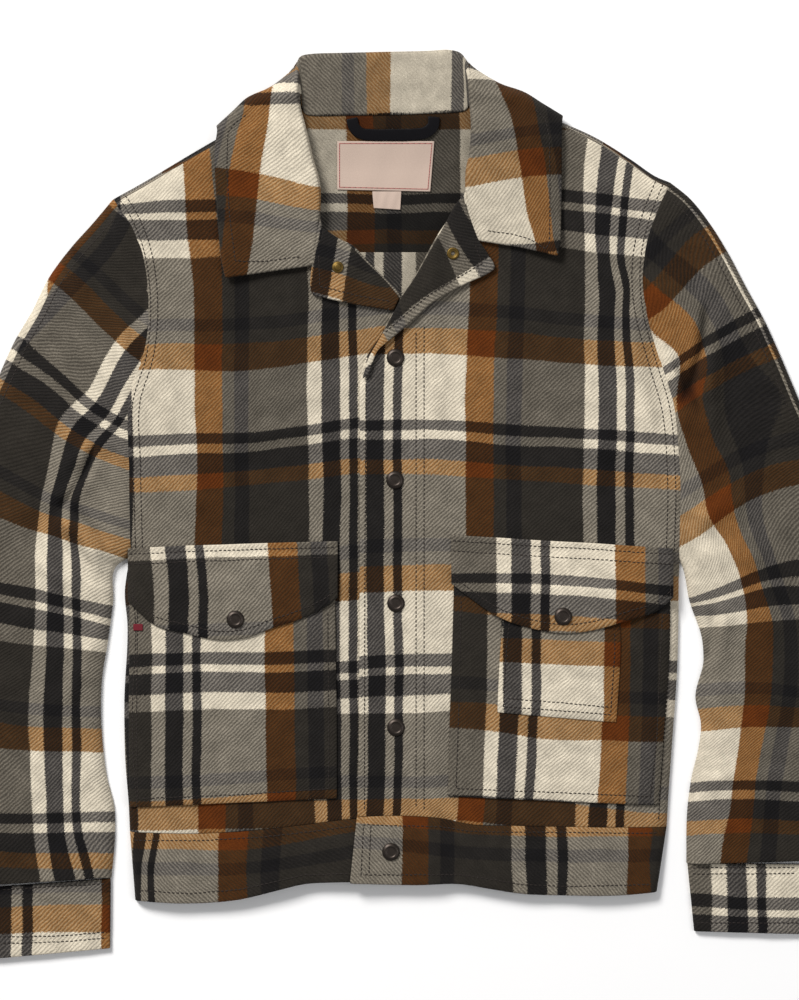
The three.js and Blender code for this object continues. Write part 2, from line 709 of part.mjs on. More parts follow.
// ---- pockets and flaps ----
function patchPocket(name, rows, layers, cols, material) {
  const left = along(rows, 'xl', 'yl'), right = along(rows, 'xr', 'yr');
  const n = 6;
  add(name, sheet((i, j) => {
    const a = left(j / n), b = right(j / n), t = i / cols;
    const x = mix(a[0], b[0], t), y = mix(a[1], b[1], t);
    return [...mm(x, y), onFront(x, y) + LAYER * layers];
  }, cols, n, CLOTH), material);
}
patchPocket('pocket_right', POCKET_R, 1, 6, GREY);
patchPocket('pocket_left', POCKET_L, 1, 6, GREY);
patchPocket('pocket_small', POCKET_SMALL, 2, 4, CREAM);
function flap(name, rows, overSmall, material) {
  const cols = 12, x0 = rows[0].x, x1 = rows[rows.length - 1].x;
  add(name, sheet((i, j) => {
    const x = mix(x0, x1, i / cols), top = atX(rows, x, 'top'), low = atX(rows, x, 'bottom');
    const y = mix(top, low, [0, 0.17, 0.34, 0.66, 1][j]);
    const over = smooth((y - 550) / 12) + (overSmall ? smooth((y - 576) / 14) * smooth((x - 478) / 18) * smooth((645 - x) / 18) : 0);
    return [...mm(x, y), onFront(x, y) + LAYER * (1 + over)];
  }, cols, 4, CLOTH), material);
}
flap('flap_right', FLAP_R, false, CHARCOAL);
flap('flap_left', FLAP_L, true, CREAM);

// ---- lapels ----
function lapel(name, rows, zOf, material) {
  const roll = along(rows, 'rx', 'ry'), edge = along(rows, 'ex', 'ey');
  const n = 10, cols = 4;
  add(name, sheet((i, j) => {
    const k = j / n * (rows.length - 1), q = Math.min(Math.floor(k), rows.length - 2), f = k - q;
    const a = [mix(rows[q].rx, rows[q + 1].rx, f), mix(rows[q].ry, rows[q + 1].ry, f)];
    const b = [mix(rows[q].ex, rows[q + 1].ex, f), mix(rows[q].ey, rows[q + 1].ey, f)];
    const x = mix(a[0], b[0], i / cols), y = mix(a[1], b[1], i / cols);
    return [...mm(x, y), zOf(x, y) + CLOTH / 2 + GAP + SLACK * 2 + LAPEL / 2];
  }, cols, n, LAPEL), material);
}
lapel('lapel_left', LAPEL_L, lapZ, CHARCOAL);
lapel('lapel_right', LAPEL_R, frontZ, OCHRE);

// ---- collar: two layers, folded at the roll, its fall round the shoulders from the front to under the back ----
{
  const rows = [...reversed(COLLAR_R), ...COLLAR_L.slice(1)];
  const n = rows.length - 1;
  const PLY = 1.35, BETWEEN = 1.1, EVEN = 2;                                        // each layer, pressed
  const over = (x, y) => onFront(x, y) + CLOTH / 2 + GAP + PLY + GAP / 2 + SLACK * 2;    // between the two layers, on the front
  const UNDER = PLY + BETWEEN / 2 + 0.1, STAND = NECK_LIFT + PLY + BETWEEN / 2 + 0.1;
  const section = rows.map((row) => {
    const r = { ...row, roll: row.roll ** 4 };
    const up = (1 + Math.sin(r.turn * Math.PI / 180)) / 2;
    const flatN = over(r.nx, r.ny), foldN = CLOTH + lift(r.nx, r.ny) + PLY + BETWEEN / 2 + 0.5, foldR = CLOTH + lift(r.rx, r.ry) + PLY + BETWEEN / 2 + 0.5;
    const zn = mix(STAND, mix(flatN, foldN, r.roll), up);
    const ridge = Math.cos(r.turn * Math.PI / 180);         // the roll stands up where the collar goes round the shoulder
    const za = mix(STAND + 0.5, mix(flatN, foldR, r.roll), up) + 1.2 * ridge;
    const fallUp = mix(over(r.rx, r.ry), Math.max(foldR + 5.4, over(r.cx, r.cy) + 0.6), r.roll);
    const zb = mix(UNDER + 0.1, fallUp, up) + 3.0 * ridge;
    const rollDir = new THREE.Vector2(r.rx - r.nx, r.ry - r.ny), lenN = rollDir.length();
    const fallDir = new THREE.Vector2(r.fx - r.rx, r.fy - r.ry).normalize();
    const step = Math.min(lenN * 0.5, 4.4), out = 4.4;
    rollDir.normalize();
    const flatRoll = r.roll < 0.4;
    const a = [r.rx - rollDir.x * step, r.ry - rollDir.y * step, za];
    const b = [r.rx + fallDir.x * (flatRoll ? 2 : out), r.ry + fallDir.y * (flatRoll ? 2 : out), zb];
    const zr = (za + zb) / 2 + 1.4 * ridge;
    const a2 = [mix(a[0], r.rx, 0.75), mix(a[1], r.ry, 0.75), mix(za, zr, 0.4)];
    const b2 = [mix(b[0], r.rx, 0.75), mix(b[1], r.ry, 0.75), mix(zb, zr, 0.4)];
    const zc = mix(UNDER, over(r.cx, r.cy), up), zf = mix(UNDER, over(r.fx, r.fy), up);
    const c = [r.cx, r.cy, zc], f = [r.fx, r.fy, zf];
    const half = (p, q, k = 0.5) => [mix(p[0], q[0], k), mix(p[1], q[1], k), mix(p[2], q[2], k)];
    const cb = half(b, c, r.roll ? 0.6 : 0.5), cf = half(c, f);
    if (up > 0.95) { cb[2] = Math.max(cb[2], over(cb[0], cb[1])); cf[2] = Math.max(cf[2], over(cf[0], cf[1])); }
    return [[r.nx, r.ny, zn], a, a2, [r.rx, r.ry, zr], b2, b, cb, c, cf, f];
  });
  const cols = section[0].length - 1;
  const point = (i, j) => { const p = section[j][i]; return [...mm(p[0], p[1]), p[2]]; };
  const outward = PLY / 2 + BETWEEN / 2;
  add('top_collar', sheet(point, cols, n, PLY, false, -outward, EVEN), CREAM);
  add('under_collar', sheet(point, cols, n, PLY, false, outward, EVEN), CHARCOAL);
}

// ---- hanger loop and labels on the inside of the yoke ----
{
  const path = table(`
    x    y
    352  119
    354  127
    361  133.5
    372  135
    393  135
    414  134.5
    426  132.5
    433  126
    434  117.5`);
  const f = along(path), n = 10, w = 5.2;
  add('hanger_loop', sheet((i, j) => {
    const p = f(j / n), q = f(Math.min(1, j / n + 0.01)), r = f(Math.max(0, j / n - 0.01));
    const d = new THREE.Vector2(q[0] - r[0], q[1] - r[1]).normalize();
    const k = (i / 2 - 0.5) * w * 2;
    const x = p[0] - d.y * k, y = p[1] + d.x * k;
    return [...mm(x, y), backZ(x, y) + CLOTH / 2 + GAP + SLACK + TAPE / 2];
  }, 2, n, TAPE), BLACK_TAPE);
}
function label(name, a, b, c, d, z) {
  add(name, sheet((i, j) => {
    const t = i / 3, s = j / 2;
    const x = mix(mix(a[0], b[0], t), mix(c[0], d[0], t), s), y = mix(mix(a[1], b[1], t), mix(c[1], d[1], t), s);
    return [...mm(x, y), backZ(x, y) + CLOTH / 2 + z + LABEL / 2];
  }, 3, 2, LABEL), LABEL_WHITE);
}
label('label_main', [337.5, 141.5], [434, 141.5], [337.5, 189], [430, 191], 0.6);
label('label_size', [372.6, 191.5], [401, 191.5], [374, 207.5], [400, 209.2], 0.6);

// ---- a tiny plain tab in the pocket's side seam ----
add('tab_right', sheet((i, j) => {
  const x = mix(134, 143, i / 2), y = mix(624, 630, j);
  return [...mm(x, y), frontZ(x, y) + LAYER + CLOTH / 2 + 0.5 + 0.3];
}, 2, 1, 0.6), TAB_RED);

// ---- snaps ----
const SNAPS = table(`
  id x     y     layers
  1  395.5 358   0
  2  395   480   0
  3  396   603   0
  4  396   727   0
  5  391   851   0
  6  236   619   2
  7  562.5 616   3`);
const NAMES = ['snap_front_1', 'snap_front_2', 'snap_front_3', 'snap_front_4', 'snap_waistband', 'snap_flap_right', 'snap_flap_left'];
function turned(name, profile, x, y, z, material) {
  const g = new THREE.LatheGeometry(profile.map(([r, h]) => new THREE.Vector2(r, h)), 14);
  g.rotateX(Math.PI / 2);
  const [X, Y] = mm(x, y);
  g.translate(X, Y, z);
  add(name, g, material);
}
const CAP = [[0, 0], [CAP_R - 0.4, 0], [CAP_R, 0.8], [CAP_R - 1.6, CAP_H - 0.2], [CAP_R - 3.2, CAP_H - 0.5], [0, CAP_H - 0.3]];
for (const s of SNAPS) {
  const top = (s.id < 5 ? lapZ(s.x, s.y) : s.id === 5 ? lapZ(s.x, 826) : onFront(s.x, s.y) + LAYER * s.layers) + CLOTH / 2 + GAP + 0.25;
  turned(NAMES[s.id - 1], CAP, s.x, s.y, top, SNAP_METAL);
}
const lapelTop = (zOf, x, y) => zOf(x, y) + CLOTH / 2 + GAP + SLACK * 2 + LAPEL + GAP + 0.3;
turned('snap_socket_lapel', [[1.6, 0], [4.9, 0], [5.2, 0.5], [4.7, 1.3], [3.4, 1.5], [2.6, 1.1], [1.6, 1.1], [1.6, 0]], 452.8, 254.3,
  lapelTop(lapZ, 452.8, 254.3), BRASS);
turned('snap_stud_lapel', [[0, 0], [4.6, 0], [4.9, 0.4], [4.4, 1.1], [0, 1.3]], 338, 268, lapelTop(frontZ, 338, 268), BRASS);

// ---- trim: where folded pieces brush each other, one is cut back to leave room ----
const wasm = await Module();
wasm.setup();
const TRIMS = [['front_left', 'under_collar', 0.25], ['front_right', 'under_collar', 0.25],
  ['front_right', 'waistband_right', 0.25], ['back_yoke', 'front_right', 0.25], ['back_yoke', 'top_collar', 0.25], ['back_yoke', 'front_left', 0.25], ['front_left', 'waistband_left', 0.25]];
const find = (name) => coat.children.find((m) => m.name === name);
const solid = (m) => new wasm.Manifold(new wasm.Mesh({
  numProp: 3, vertProperties: new Float32Array(m.geometry.attributes.position.array), triVerts: new Uint32Array(m.geometry.index.array) }));
for (const [name, other, room] of TRIMS) {
  const target = find(name), tool = solid(find(other));
  let rest = solid(target);
  for (const axis of [0, 1, 2]) for (const sign of [-1, 1]) rest = rest.subtract(tool.translate([0, 1, 2].map((k) => (k === axis ? sign * room : 0))));
  const piece = rest.decompose().reduce((a, b) => (b.volume() > a.volume() ? b : a)).simplify(0.02), mesh = piece.getMesh();
  const g = new THREE.BufferGeometry();
  g.setAttribute('position', new THREE.Float32BufferAttribute(Array.from(mesh.vertProperties), 3));
  g.setIndex(Array.from(mesh.triVerts));
  g.computeVertexNormals();
  target.geometry = g;
}

export default coat;
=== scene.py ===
# Looks of a plaid wool work coat laid flat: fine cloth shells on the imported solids, woven and napped
# materials, stitching and snaps, a pale floor, soft light and the camera straight above.
import math

import bpy
import numpy as np
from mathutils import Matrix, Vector
from mathutils.bvhtree import BVHTree


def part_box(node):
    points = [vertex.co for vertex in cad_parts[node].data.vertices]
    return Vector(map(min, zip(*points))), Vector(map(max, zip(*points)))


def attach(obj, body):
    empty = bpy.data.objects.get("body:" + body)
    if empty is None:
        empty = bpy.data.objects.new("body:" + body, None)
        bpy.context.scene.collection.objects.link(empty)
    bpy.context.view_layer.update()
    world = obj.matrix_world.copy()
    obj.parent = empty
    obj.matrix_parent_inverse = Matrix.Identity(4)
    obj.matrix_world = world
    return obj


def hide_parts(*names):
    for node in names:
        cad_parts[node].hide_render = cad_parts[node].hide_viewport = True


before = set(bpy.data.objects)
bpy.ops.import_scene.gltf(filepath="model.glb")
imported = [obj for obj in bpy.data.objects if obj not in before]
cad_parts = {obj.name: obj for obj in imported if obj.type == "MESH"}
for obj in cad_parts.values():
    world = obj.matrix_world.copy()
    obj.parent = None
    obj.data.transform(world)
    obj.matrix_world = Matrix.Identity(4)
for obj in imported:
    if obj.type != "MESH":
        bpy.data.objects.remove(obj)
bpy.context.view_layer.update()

# ---- named sizes: the drawing's squares and the heights of the layers (mm) ----
SQUARE = 0.86
CENTRE_X, CENTRE_Y = 398.98, 505.12
CLOTH, GAP, SLACK = 2.0, 0.3, 0.35
LOFT, LOFT_REACH = 6.5, 8.0
UNDER_INSET = 3.0
NECK_LIFT, LIFT_NEAR, LIFT_FAR = 4.8, 6.0, 52.0
LAPEL = 3.6
SEAM_BACK = 7.0
LAP_END, LAP_CLEAR = 431.0, 451.0
LAYER = CLOTH + GAP + 0.2
CAP_R, CAP_H = 7.6, 2.6
STEP = 2.8                                   # spacing of the fine grids


def table(text):
    lines = [l.split() for l in text.strip().splitlines()]
    return {k: np.array([float(r[i]) for r in lines[1:]]) for i, k in enumerate(lines[0])}


SHOULDER_R = table("""x y
112.7 199
145 181
182 159
219 138
262 114.5
300 92""")
ARMHOLE_R = table("""x y
112.7 199
121 210
136 241
145.4 290
142 355
129 398
129 470
131 556""")
SIDE_R = table("""x y
131 556
124.5 590
127 623
124 703
125 761
128.5 807
129.6 831.5""")
SLEEVE_OUT_R = table("""x y
112.7 199
92 223.6
72.7 245
48.5 277.5
31.5 311.5
14.5 340.5
0 372
-25 430
-50 490
-70 550
-82 610
-87 670
-84 740
-72 812
-47 889""")
SLEEVE_IN_R = table("""x y
131 556
116 566
112.5 603
107 644
102 675
101.6 736
106.6 778
113.6 806
114.5 834
111 878""")
SHOULDER_L = table("""x y
472 85
515 103
558 121
599 139
631 159
657 176.5
669.5 181.5""")
ARMHOLE_L = table("""x y
669.5 181.5
655 217
645 262
646.6 306.6
660 358
674 405
680 480
679 556""")
SIDE_L = table("""x y
679 556
679 585
677.5 668
672 749
668 808
667 826.5""")
SLEEVE_OUT_L = table("""x y
669.5 181.5
689 197
712 226
728 252
746 286
764.6 320
780 354
798.6 398
822 450
844 505
862 560
876 620
884 680
885 740
873 805
845 863""")
SLEEVE_IN_L = table("""x y
679 556
684 570
689.5 599
703 642
704 660
696 698
701.5 725
698.8 749
692 778
688 808
686.8 863""")
SEAM_R = table("""x y
129.6 831.5
200 832.5
257 829
311 823
356 817.5
424 817""")
SEAM_L = table("""x y
358 815.5
403 814.7
442 817.5
468 823
515 824.7
625 826.5
667 826.5""")
HEM_R = table("""x y
135 899.6
190 902
240 898
280 888.4
303 883
335 881
423 883""")
HEM_L = table("""x y
351 882
416 883.5
463 883
491 887.6
523 892.4
564 894
625 893.7
657 891""")
COLLAR_R = table("""nx ny rx ry cx cy fx fy turn roll
386 113.5 384 53.5 384 84 384 111 -90 1
345 114 342 54.5 341 85 338 112 -90 1
318 114.5 312 55.5 303 88 292 116 -90 1
306 113 302 57.5 283 95 262 129 -90 1
302.5 107 299 63 264 102 238 139 -90 1
300.5 100 297.5 70 252.5 101 221 131.5 -60 1
300 93 296.5 79 249 99 218.5 127 0 1
297.5 98 297 90 251 103 219 131 45 1
292 108 298.5 104 253 111 217 142 90 1
287 130 304 127 258 136 216.5 166 90 1
293 160 311.5 158 264 168 218 194 90 1
305 193 319 190 270 204 220 222 90 1
321 227 317.5 226 272 234 222 247 90 0.5
318 246 315.5 246 274 254 224 263 90 0
312.3 264.5 309.8 265.3 274 270 227 277 90 0""")
COLLAR_L = table("""nx ny rx ry cx cy fx fy turn roll
386 113.5 384 53.5 384 84 384 111 -90 1
428 112 428 52.5 430 82 432 109 -90 1
452 111 449 51.5 465 84 474 112 -90 1
465 109 459 54 486 91 508 123 -90 1
470 102 464 60 505 97 535 133 -90 1
471.5 95 467 68 519.5 95 558.6 119.8 -60 1
472 87 469 77 522.5 93.5 561 117 0 1
475 93 470 88 521 98 560.6 120.6 65 1
480 106 471 103 518 109 560 140 90 1
487 128 472.5 128 517 134 560 162 90 1
486 152 471 152 516 160 560 184 90 1
477 176 467 175 515 184 559.5 206 90 1
465 198 468 199 514.5 207 559 226 90 0.5
470.5 219 473.5 219.5 515 227 558.5 241 90 0
479 240 482 240.5 519 246.5 556 255 90 0""")
POCKET_R = table("""xl yl xr yr
131 579 334 579
130.5 650 335 650
130 740 336 735
131 806 336 797""")
FLAP_R = table("""x top bottom
129 549.2 601
155 548 623.5
186 546.5 632
222 545.5 639
249 544.5 636
272 543.8 627
300 543 618
328 542.3 604
337 542 597""")
POCKET_L = table("""xl yl xr yr
455 579 669 579
453 650 668 650
450 740 662 740
449 795 657 804""")
FLAP_L = table("""x top bottom
452 535.5 583
470 537 597
497 538.5 615
535 541 628
562 542.5 632
592 544 629
627 546.5 619
659 548.5 608
672 549.3 597""")
POCKET_SMALL = table("""xl yl xr yr
504 610 619 610
501 650 619 655
498 711 615 721""")
LAPEL_L = table("""rx ry ex ey
364 377 368 374
370 358 377 351.5
381 340 388 340.5
395 314 409 322
403 298.5 430 303.5
417 277.5 464 284
430 255 487 273
444 230 493 265
456 207 477.3 241.5
463 199 466 212""")
LAPEL_R = table("""rx ry ex ey
398 298.5 393 309.5
382 280 354.5 303.5
365 263.5 325 297
349 247.5 313 292
334 238 313 267
324 231 319 248""")
FRONT_R = table("""ax ay bx by
129.6 831.5 424 817
128.5 807 424 785
125 761 424 735
124 703 424 680
127 623 424 610
124.5 590 424 560
131 556 424 510
130 513 424 460
129 470 420 400
129 434 413 331
129 398 401 299
142 355 383 278
143.7 322.5 366 261
145.4 290 350 245
141.5 270 315.5 230
136 241 302.8 195
128.5 225.5 290.6 161
121 210 284.6 130""")
FRONT_L = table("""ax ay bx by
667 826.5 358.4 815.5
668 808 359 785
672 749 360 735
674.7 709 360.3 680
677.5 668 360.6 620
679 585 360.8 560
677.8 556 361 510
679.5 518 361.2 450
680 480 361.9 376
677 442 368.4 356
674 405 380.4 338
660 358 394.2 312
653.3 332 416.4 275.4
646.6 306.6 443.4 228
645 262 468.6 199.6
650 239.5 481.4 177.8
655 217 488.7 153
660 205 490 128""")
YOKE_TOP = table("""x y in
112.7 199 1
145 181 1
182 159 1
219 138 1
262 114.5 1
292 97 1
300 108 0
307 116.4 0
318 116.8 0
345 116.2 0
386 115.6 0
428 114.4 0
463 113.2 0
471 106 0
478 88 1
515 103 1
558 121 1
599 139 1
631 159 1
657 176.5 1
669.5 181.5 1""")
NECK_BAND = table("""x y
224 135
262 114
300 97
306 112
386 112
466 108
472 92
515 104
555 122""")
# how the cloth turns down at the outline: distance inside it (mm) and share of the full height
TURN_DOWN = table("""d share
1.0 0.05
0.92 0.22
1.0 0.42
1.35 0.62
2.0 0.80
3.0 0.90
4.6 0.96
6.6 0.99
9.0 1.0""")
ROLL_UP = table("""d share
6.0 0
4.0 0.02
2.5 0.09
1.5 0.24
1.0 0.48
1.3 0.72
2.1 0.88
3.6 0.97
5.2 1.0
6.7 1.0""")


# ---- helpers ----
def mm(x, y):
    return (np.asarray(x) - CENTRE_X) * SQUARE, (CENTRE_Y - np.asarray(y)) * SQUARE


def smooth(t):
    c = np.clip(t, 0.0, 1.0)
    return c * c * (3 - 2 * c)


def mix(a, b, t):
    return a + (b - a) * t


def slopes(xs, ys):
    d = np.diff(ys) / np.diff(xs)
    m = np.empty_like(ys)
    m[0], m[-1] = d[0], d[-1]
    h = np.diff(xs)
    m[1:-1] = (d[:-1] * h[1:] + d[1:] * h[:-1]) / (h[1:] + h[:-1])
    return m


def curve(xs, ys, q):
    """A smooth curve through the table's points, at q."""
    xs, ys = np.asarray(xs, float), np.asarray(ys, float)
    if xs[0] > xs[-1]:
        xs, ys = xs[::-1], ys[::-1]
    q = np.clip(q, xs[0], xs[-1])
    m = slopes(xs, ys)
    i = np.clip(np.searchsorted(xs, q, side="right") - 1, 0, len(xs) - 2)
    h = xs[i + 1] - xs[i]
    t = (q - xs[i]) / h
    return ((2 * t**3 - 3 * t**2 + 1) * ys[i] + (t**3 - 2 * t**2 + t) * h * m[i]
            + (-2 * t**3 + 3 * t**2) * ys[i + 1] + (t**3 - t**2) * h * m[i + 1])


def lengths(x, y):
    return np.concatenate([[0], np.cumsum(np.hypot(np.diff(x), np.diff(y)))])


def along(t, kx="x", ky="y"):
    """A smooth line through the table's points, by the share of its length."""
    s = lengths(t[kx], t[ky])
    s = s / s[-1]
    return lambda q: (curve(s, t[kx], q), curve(s, t[ky], q))


def distance(lines, x, y):
    best = np.full(np.shape(x), 1e9)
    for l in lines:
        for i in range(len(l["x"]) - 1):
            ax, ay = l["x"][i], l["y"][i]
            dx, dy = l["x"][i + 1] - ax, l["y"][i + 1] - ay
            t = np.clip(((x - ax) * dx + (y - ay) * dy) / (dx * dx + dy * dy), 0, 1)
            best = np.minimum(best, np.hypot(x - ax - t * dx, y - ay - t * dy))
    return best * SQUARE


OUTLINE = [SHOULDER_R, SLEEVE_OUT_R, SLEEVE_IN_R, SIDE_R, SHOULDER_L, SLEEVE_OUT_L, SLEEVE_IN_L, SIDE_L]


def lift(x, y):
    return NECK_LIFT * (1 - smooth((distance([NECK_BAND], x, y) - LIFT_NEAR) / (LIFT_FAR - LIFT_NEAR)))


def uneven(x, y, seed, amount, long=90.0, short=34.0):
    """Soft unevenness of cloth that has been worn and laid down by hand."""
    rng = np.random.default_rng(seed)
    z = 0.0
    for k in range(9):
        wave = mix(long, short, k / 8.0)
        a, p = rng.uniform(0, 2 * math.pi, 2)
        z = z + np.sin((x * math.cos(a) + y * math.sin(a)) * 2 * math.pi * SQUARE / wave + p) * (wave / long)
    return amount * z / 3.0


def creases(rows, x, y):
    """Ridges (h > 0) and troughs (h < 0) along short bent lines: ends, bow sideways, half width and height in mm."""
    z = np.zeros(np.shape(x))
    for i in range(len(rows["x0"])):
        x0, y0, x1, y1, bow, w, h = (rows[k][i] for k in ("x0", "y0", "x1", "y1", "bow", "w", "h"))
        dx, dy = x1 - x0, y1 - y0
        l2 = dx * dx + dy * dy
        t = ((x - x0) * dx + (y - y0) * dy) / l2
        off = ((x - x0) * dy - (y - y0) * dx) / math.sqrt(l2) - bow * 4 * t * (1 - t)
        d = off * SQUARE / w
        ends = smooth((t + 0.18) / 0.36) * smooth((1.18 - t) / 0.36)
        z = z + h * np.exp(-np.abs(d) ** 1.7) * ends
    return z


BODY_FOLDS = table("""x0 y0 x1 y1 bow w h
150 300 205 470 -10 12 3.0
215 446 345 428 5 9 2.2
150 480 250 528 7 13 2.2
342 560 352 790 5 9 2.2
655 330 674 455 -8 8 -2.6
636 300 650 430 -8 11 3.4
590 440 676 505 8 14 2.6
440 430 452 560 -5 14 2.0
505 330 600 475 12 20 2.6
300 205 334 345 7 14 1.8
480 300 570 345 9 15 2.0
132 640 136 780 0 8 1.6
666 620 658 760 0 8 1.6
200 180 215 330 8 16 1.8
600 160 622 310 8 14 2.2
540 470 620 530 4 14 1.6
250 480 320 530 4 14 1.4""")


def body_relief(x, y):
    return creases(BODY_FOLDS, x, y) + uneven(x, y, 3, 0.9)


def loft(x, y):
    return LOFT * (1 - np.exp(-distance(OUTLINE, x, y) / LOFT_REACH))


def back_z(x, y):
    return CLOTH / 2 + lift(x, y)


def front_z(x, y):
    low = lift(x, y) + CLOTH * 1.5 + GAP
    room = loft(x, y)
    inside = smooth(distance(OUTLINE, x, y) / 26.0)
    return low + np.maximum(room + body_relief(x, y) * inside, 0.05)


def lap_z(x, y):
    return front_z(x, y) + (CLOTH + GAP + 0.1) * (1 - smooth((x - LAP_END) / (LAP_CLEAR - LAP_END)))


def on_front(x, y):
    return np.where(x > 400, lap_z(x, y), front_z(x, y))


# ---- materials ----
# yarn colours as they look in even light (sRGB), and the stripe widths of the plaid in squares
YARN = {"cream": (196, 186, 167), "ochre": (86, 45, 16), "charcoal": (43, 40, 36), "black": (25, 24, 25)}
WARP = [("cream", 63), ("ochre", 28), ("charcoal", 13), ("black", 15), ("charcoal", 63), ("cream", 14),
        ("black", 18), ("cream", 9), ("black", 9.5)]
WEFT = [("cream", 63), ("black", 11.5), ("cream", 9), ("black", 20), ("ochre", 15.5), ("charcoal", 65),
        ("black", 13), ("charcoal", 13), ("ochre", 26),
        ("cream", 63), ("black", 11.5), ("cream", 9), ("black", 20), ("cream", 15.5), ("charcoal", 65),
        ("black", 13), ("charcoal", 13), ("ochre", 27)]
WARP_REPEAT = sum(w for _, w in WARP)
WEFT_REPEAT = sum(w for _, w in WEFT)
ROOT = 4.0                                   # colours are mixed as their fourth roots, so dark yarns dominate


class Nodes:
    def __init__(self, name):
        self.mat = bpy.data.materials.new(name)
        self.mat.use_nodes = True
        self.t = self.mat.node_tree
        self.t.nodes.clear()
        self.out = self.t.nodes.new("ShaderNodeOutputMaterial")
        self.bsdf = self.t.nodes.new("ShaderNodeBsdfPrincipled")
        self.t.links.new(self.bsdf.outputs[0], self.out.inputs[0])

    def new(self, kind, **settings):
        n = self.t.nodes.new(kind)
        for k, v in settings.items():
            setattr(n, k, v)
        return n

    def link(self, a, b):
        self.t.links.new(a, b)

    def math(self, op, a, b=None, c=None):
        n = self.new("ShaderNodeMath", operation=op)
        for i, v in enumerate((a, b, c)):
            if v is None:
                continue
            if hasattr(v, "is_linked"):
                self.link(v, n.inputs[i])
            else:
                n.inputs[i].default_value = v
        return n.outputs[0]

    def noise(self, vec, scale, detail=2.0, rough=0.5, stretch=None):
        if stretch:
            m = self.new("ShaderNodeMapping")
            self.link(vec, m.inputs["Vector"])
            m.inputs["Scale"].default_value = stretch
            vec = m.outputs[0]
        n = self.new("ShaderNodeTexNoise", noise_dimensions="3D")
        self.link(vec, n.inputs["Vector"])
        n.inputs["Scale"].default_value = scale
        n.inputs["Detail"].default_value = detail
        n.inputs["Roughness"].default_value = rough
        return n.outputs["Fac"]


def stripes(g, coord, sett, repeat):
    fac = g.math("FRACT", g.math("MULTIPLY", coord, 1.0 / repeat))
    r = g.new("ShaderNodeValToRGB")
    r.color_ramp.interpolation = "CONSTANT"
    at = 0.0
    for i, (yarn, width) in enumerate(sett):
        e = r.color_ramp.elements[0] if i == 0 else r.color_ramp.elements.new(at / repeat) if i > 1 else r.color_ramp.elements[1]
        e.position = at / repeat
        e.color = [(c / 255.0) ** (1 / ROOT) for c in YARN[yarn]] + [1.0]
        at += width
    g.link(fac, r.inputs[0])
    return r.outputs[0]


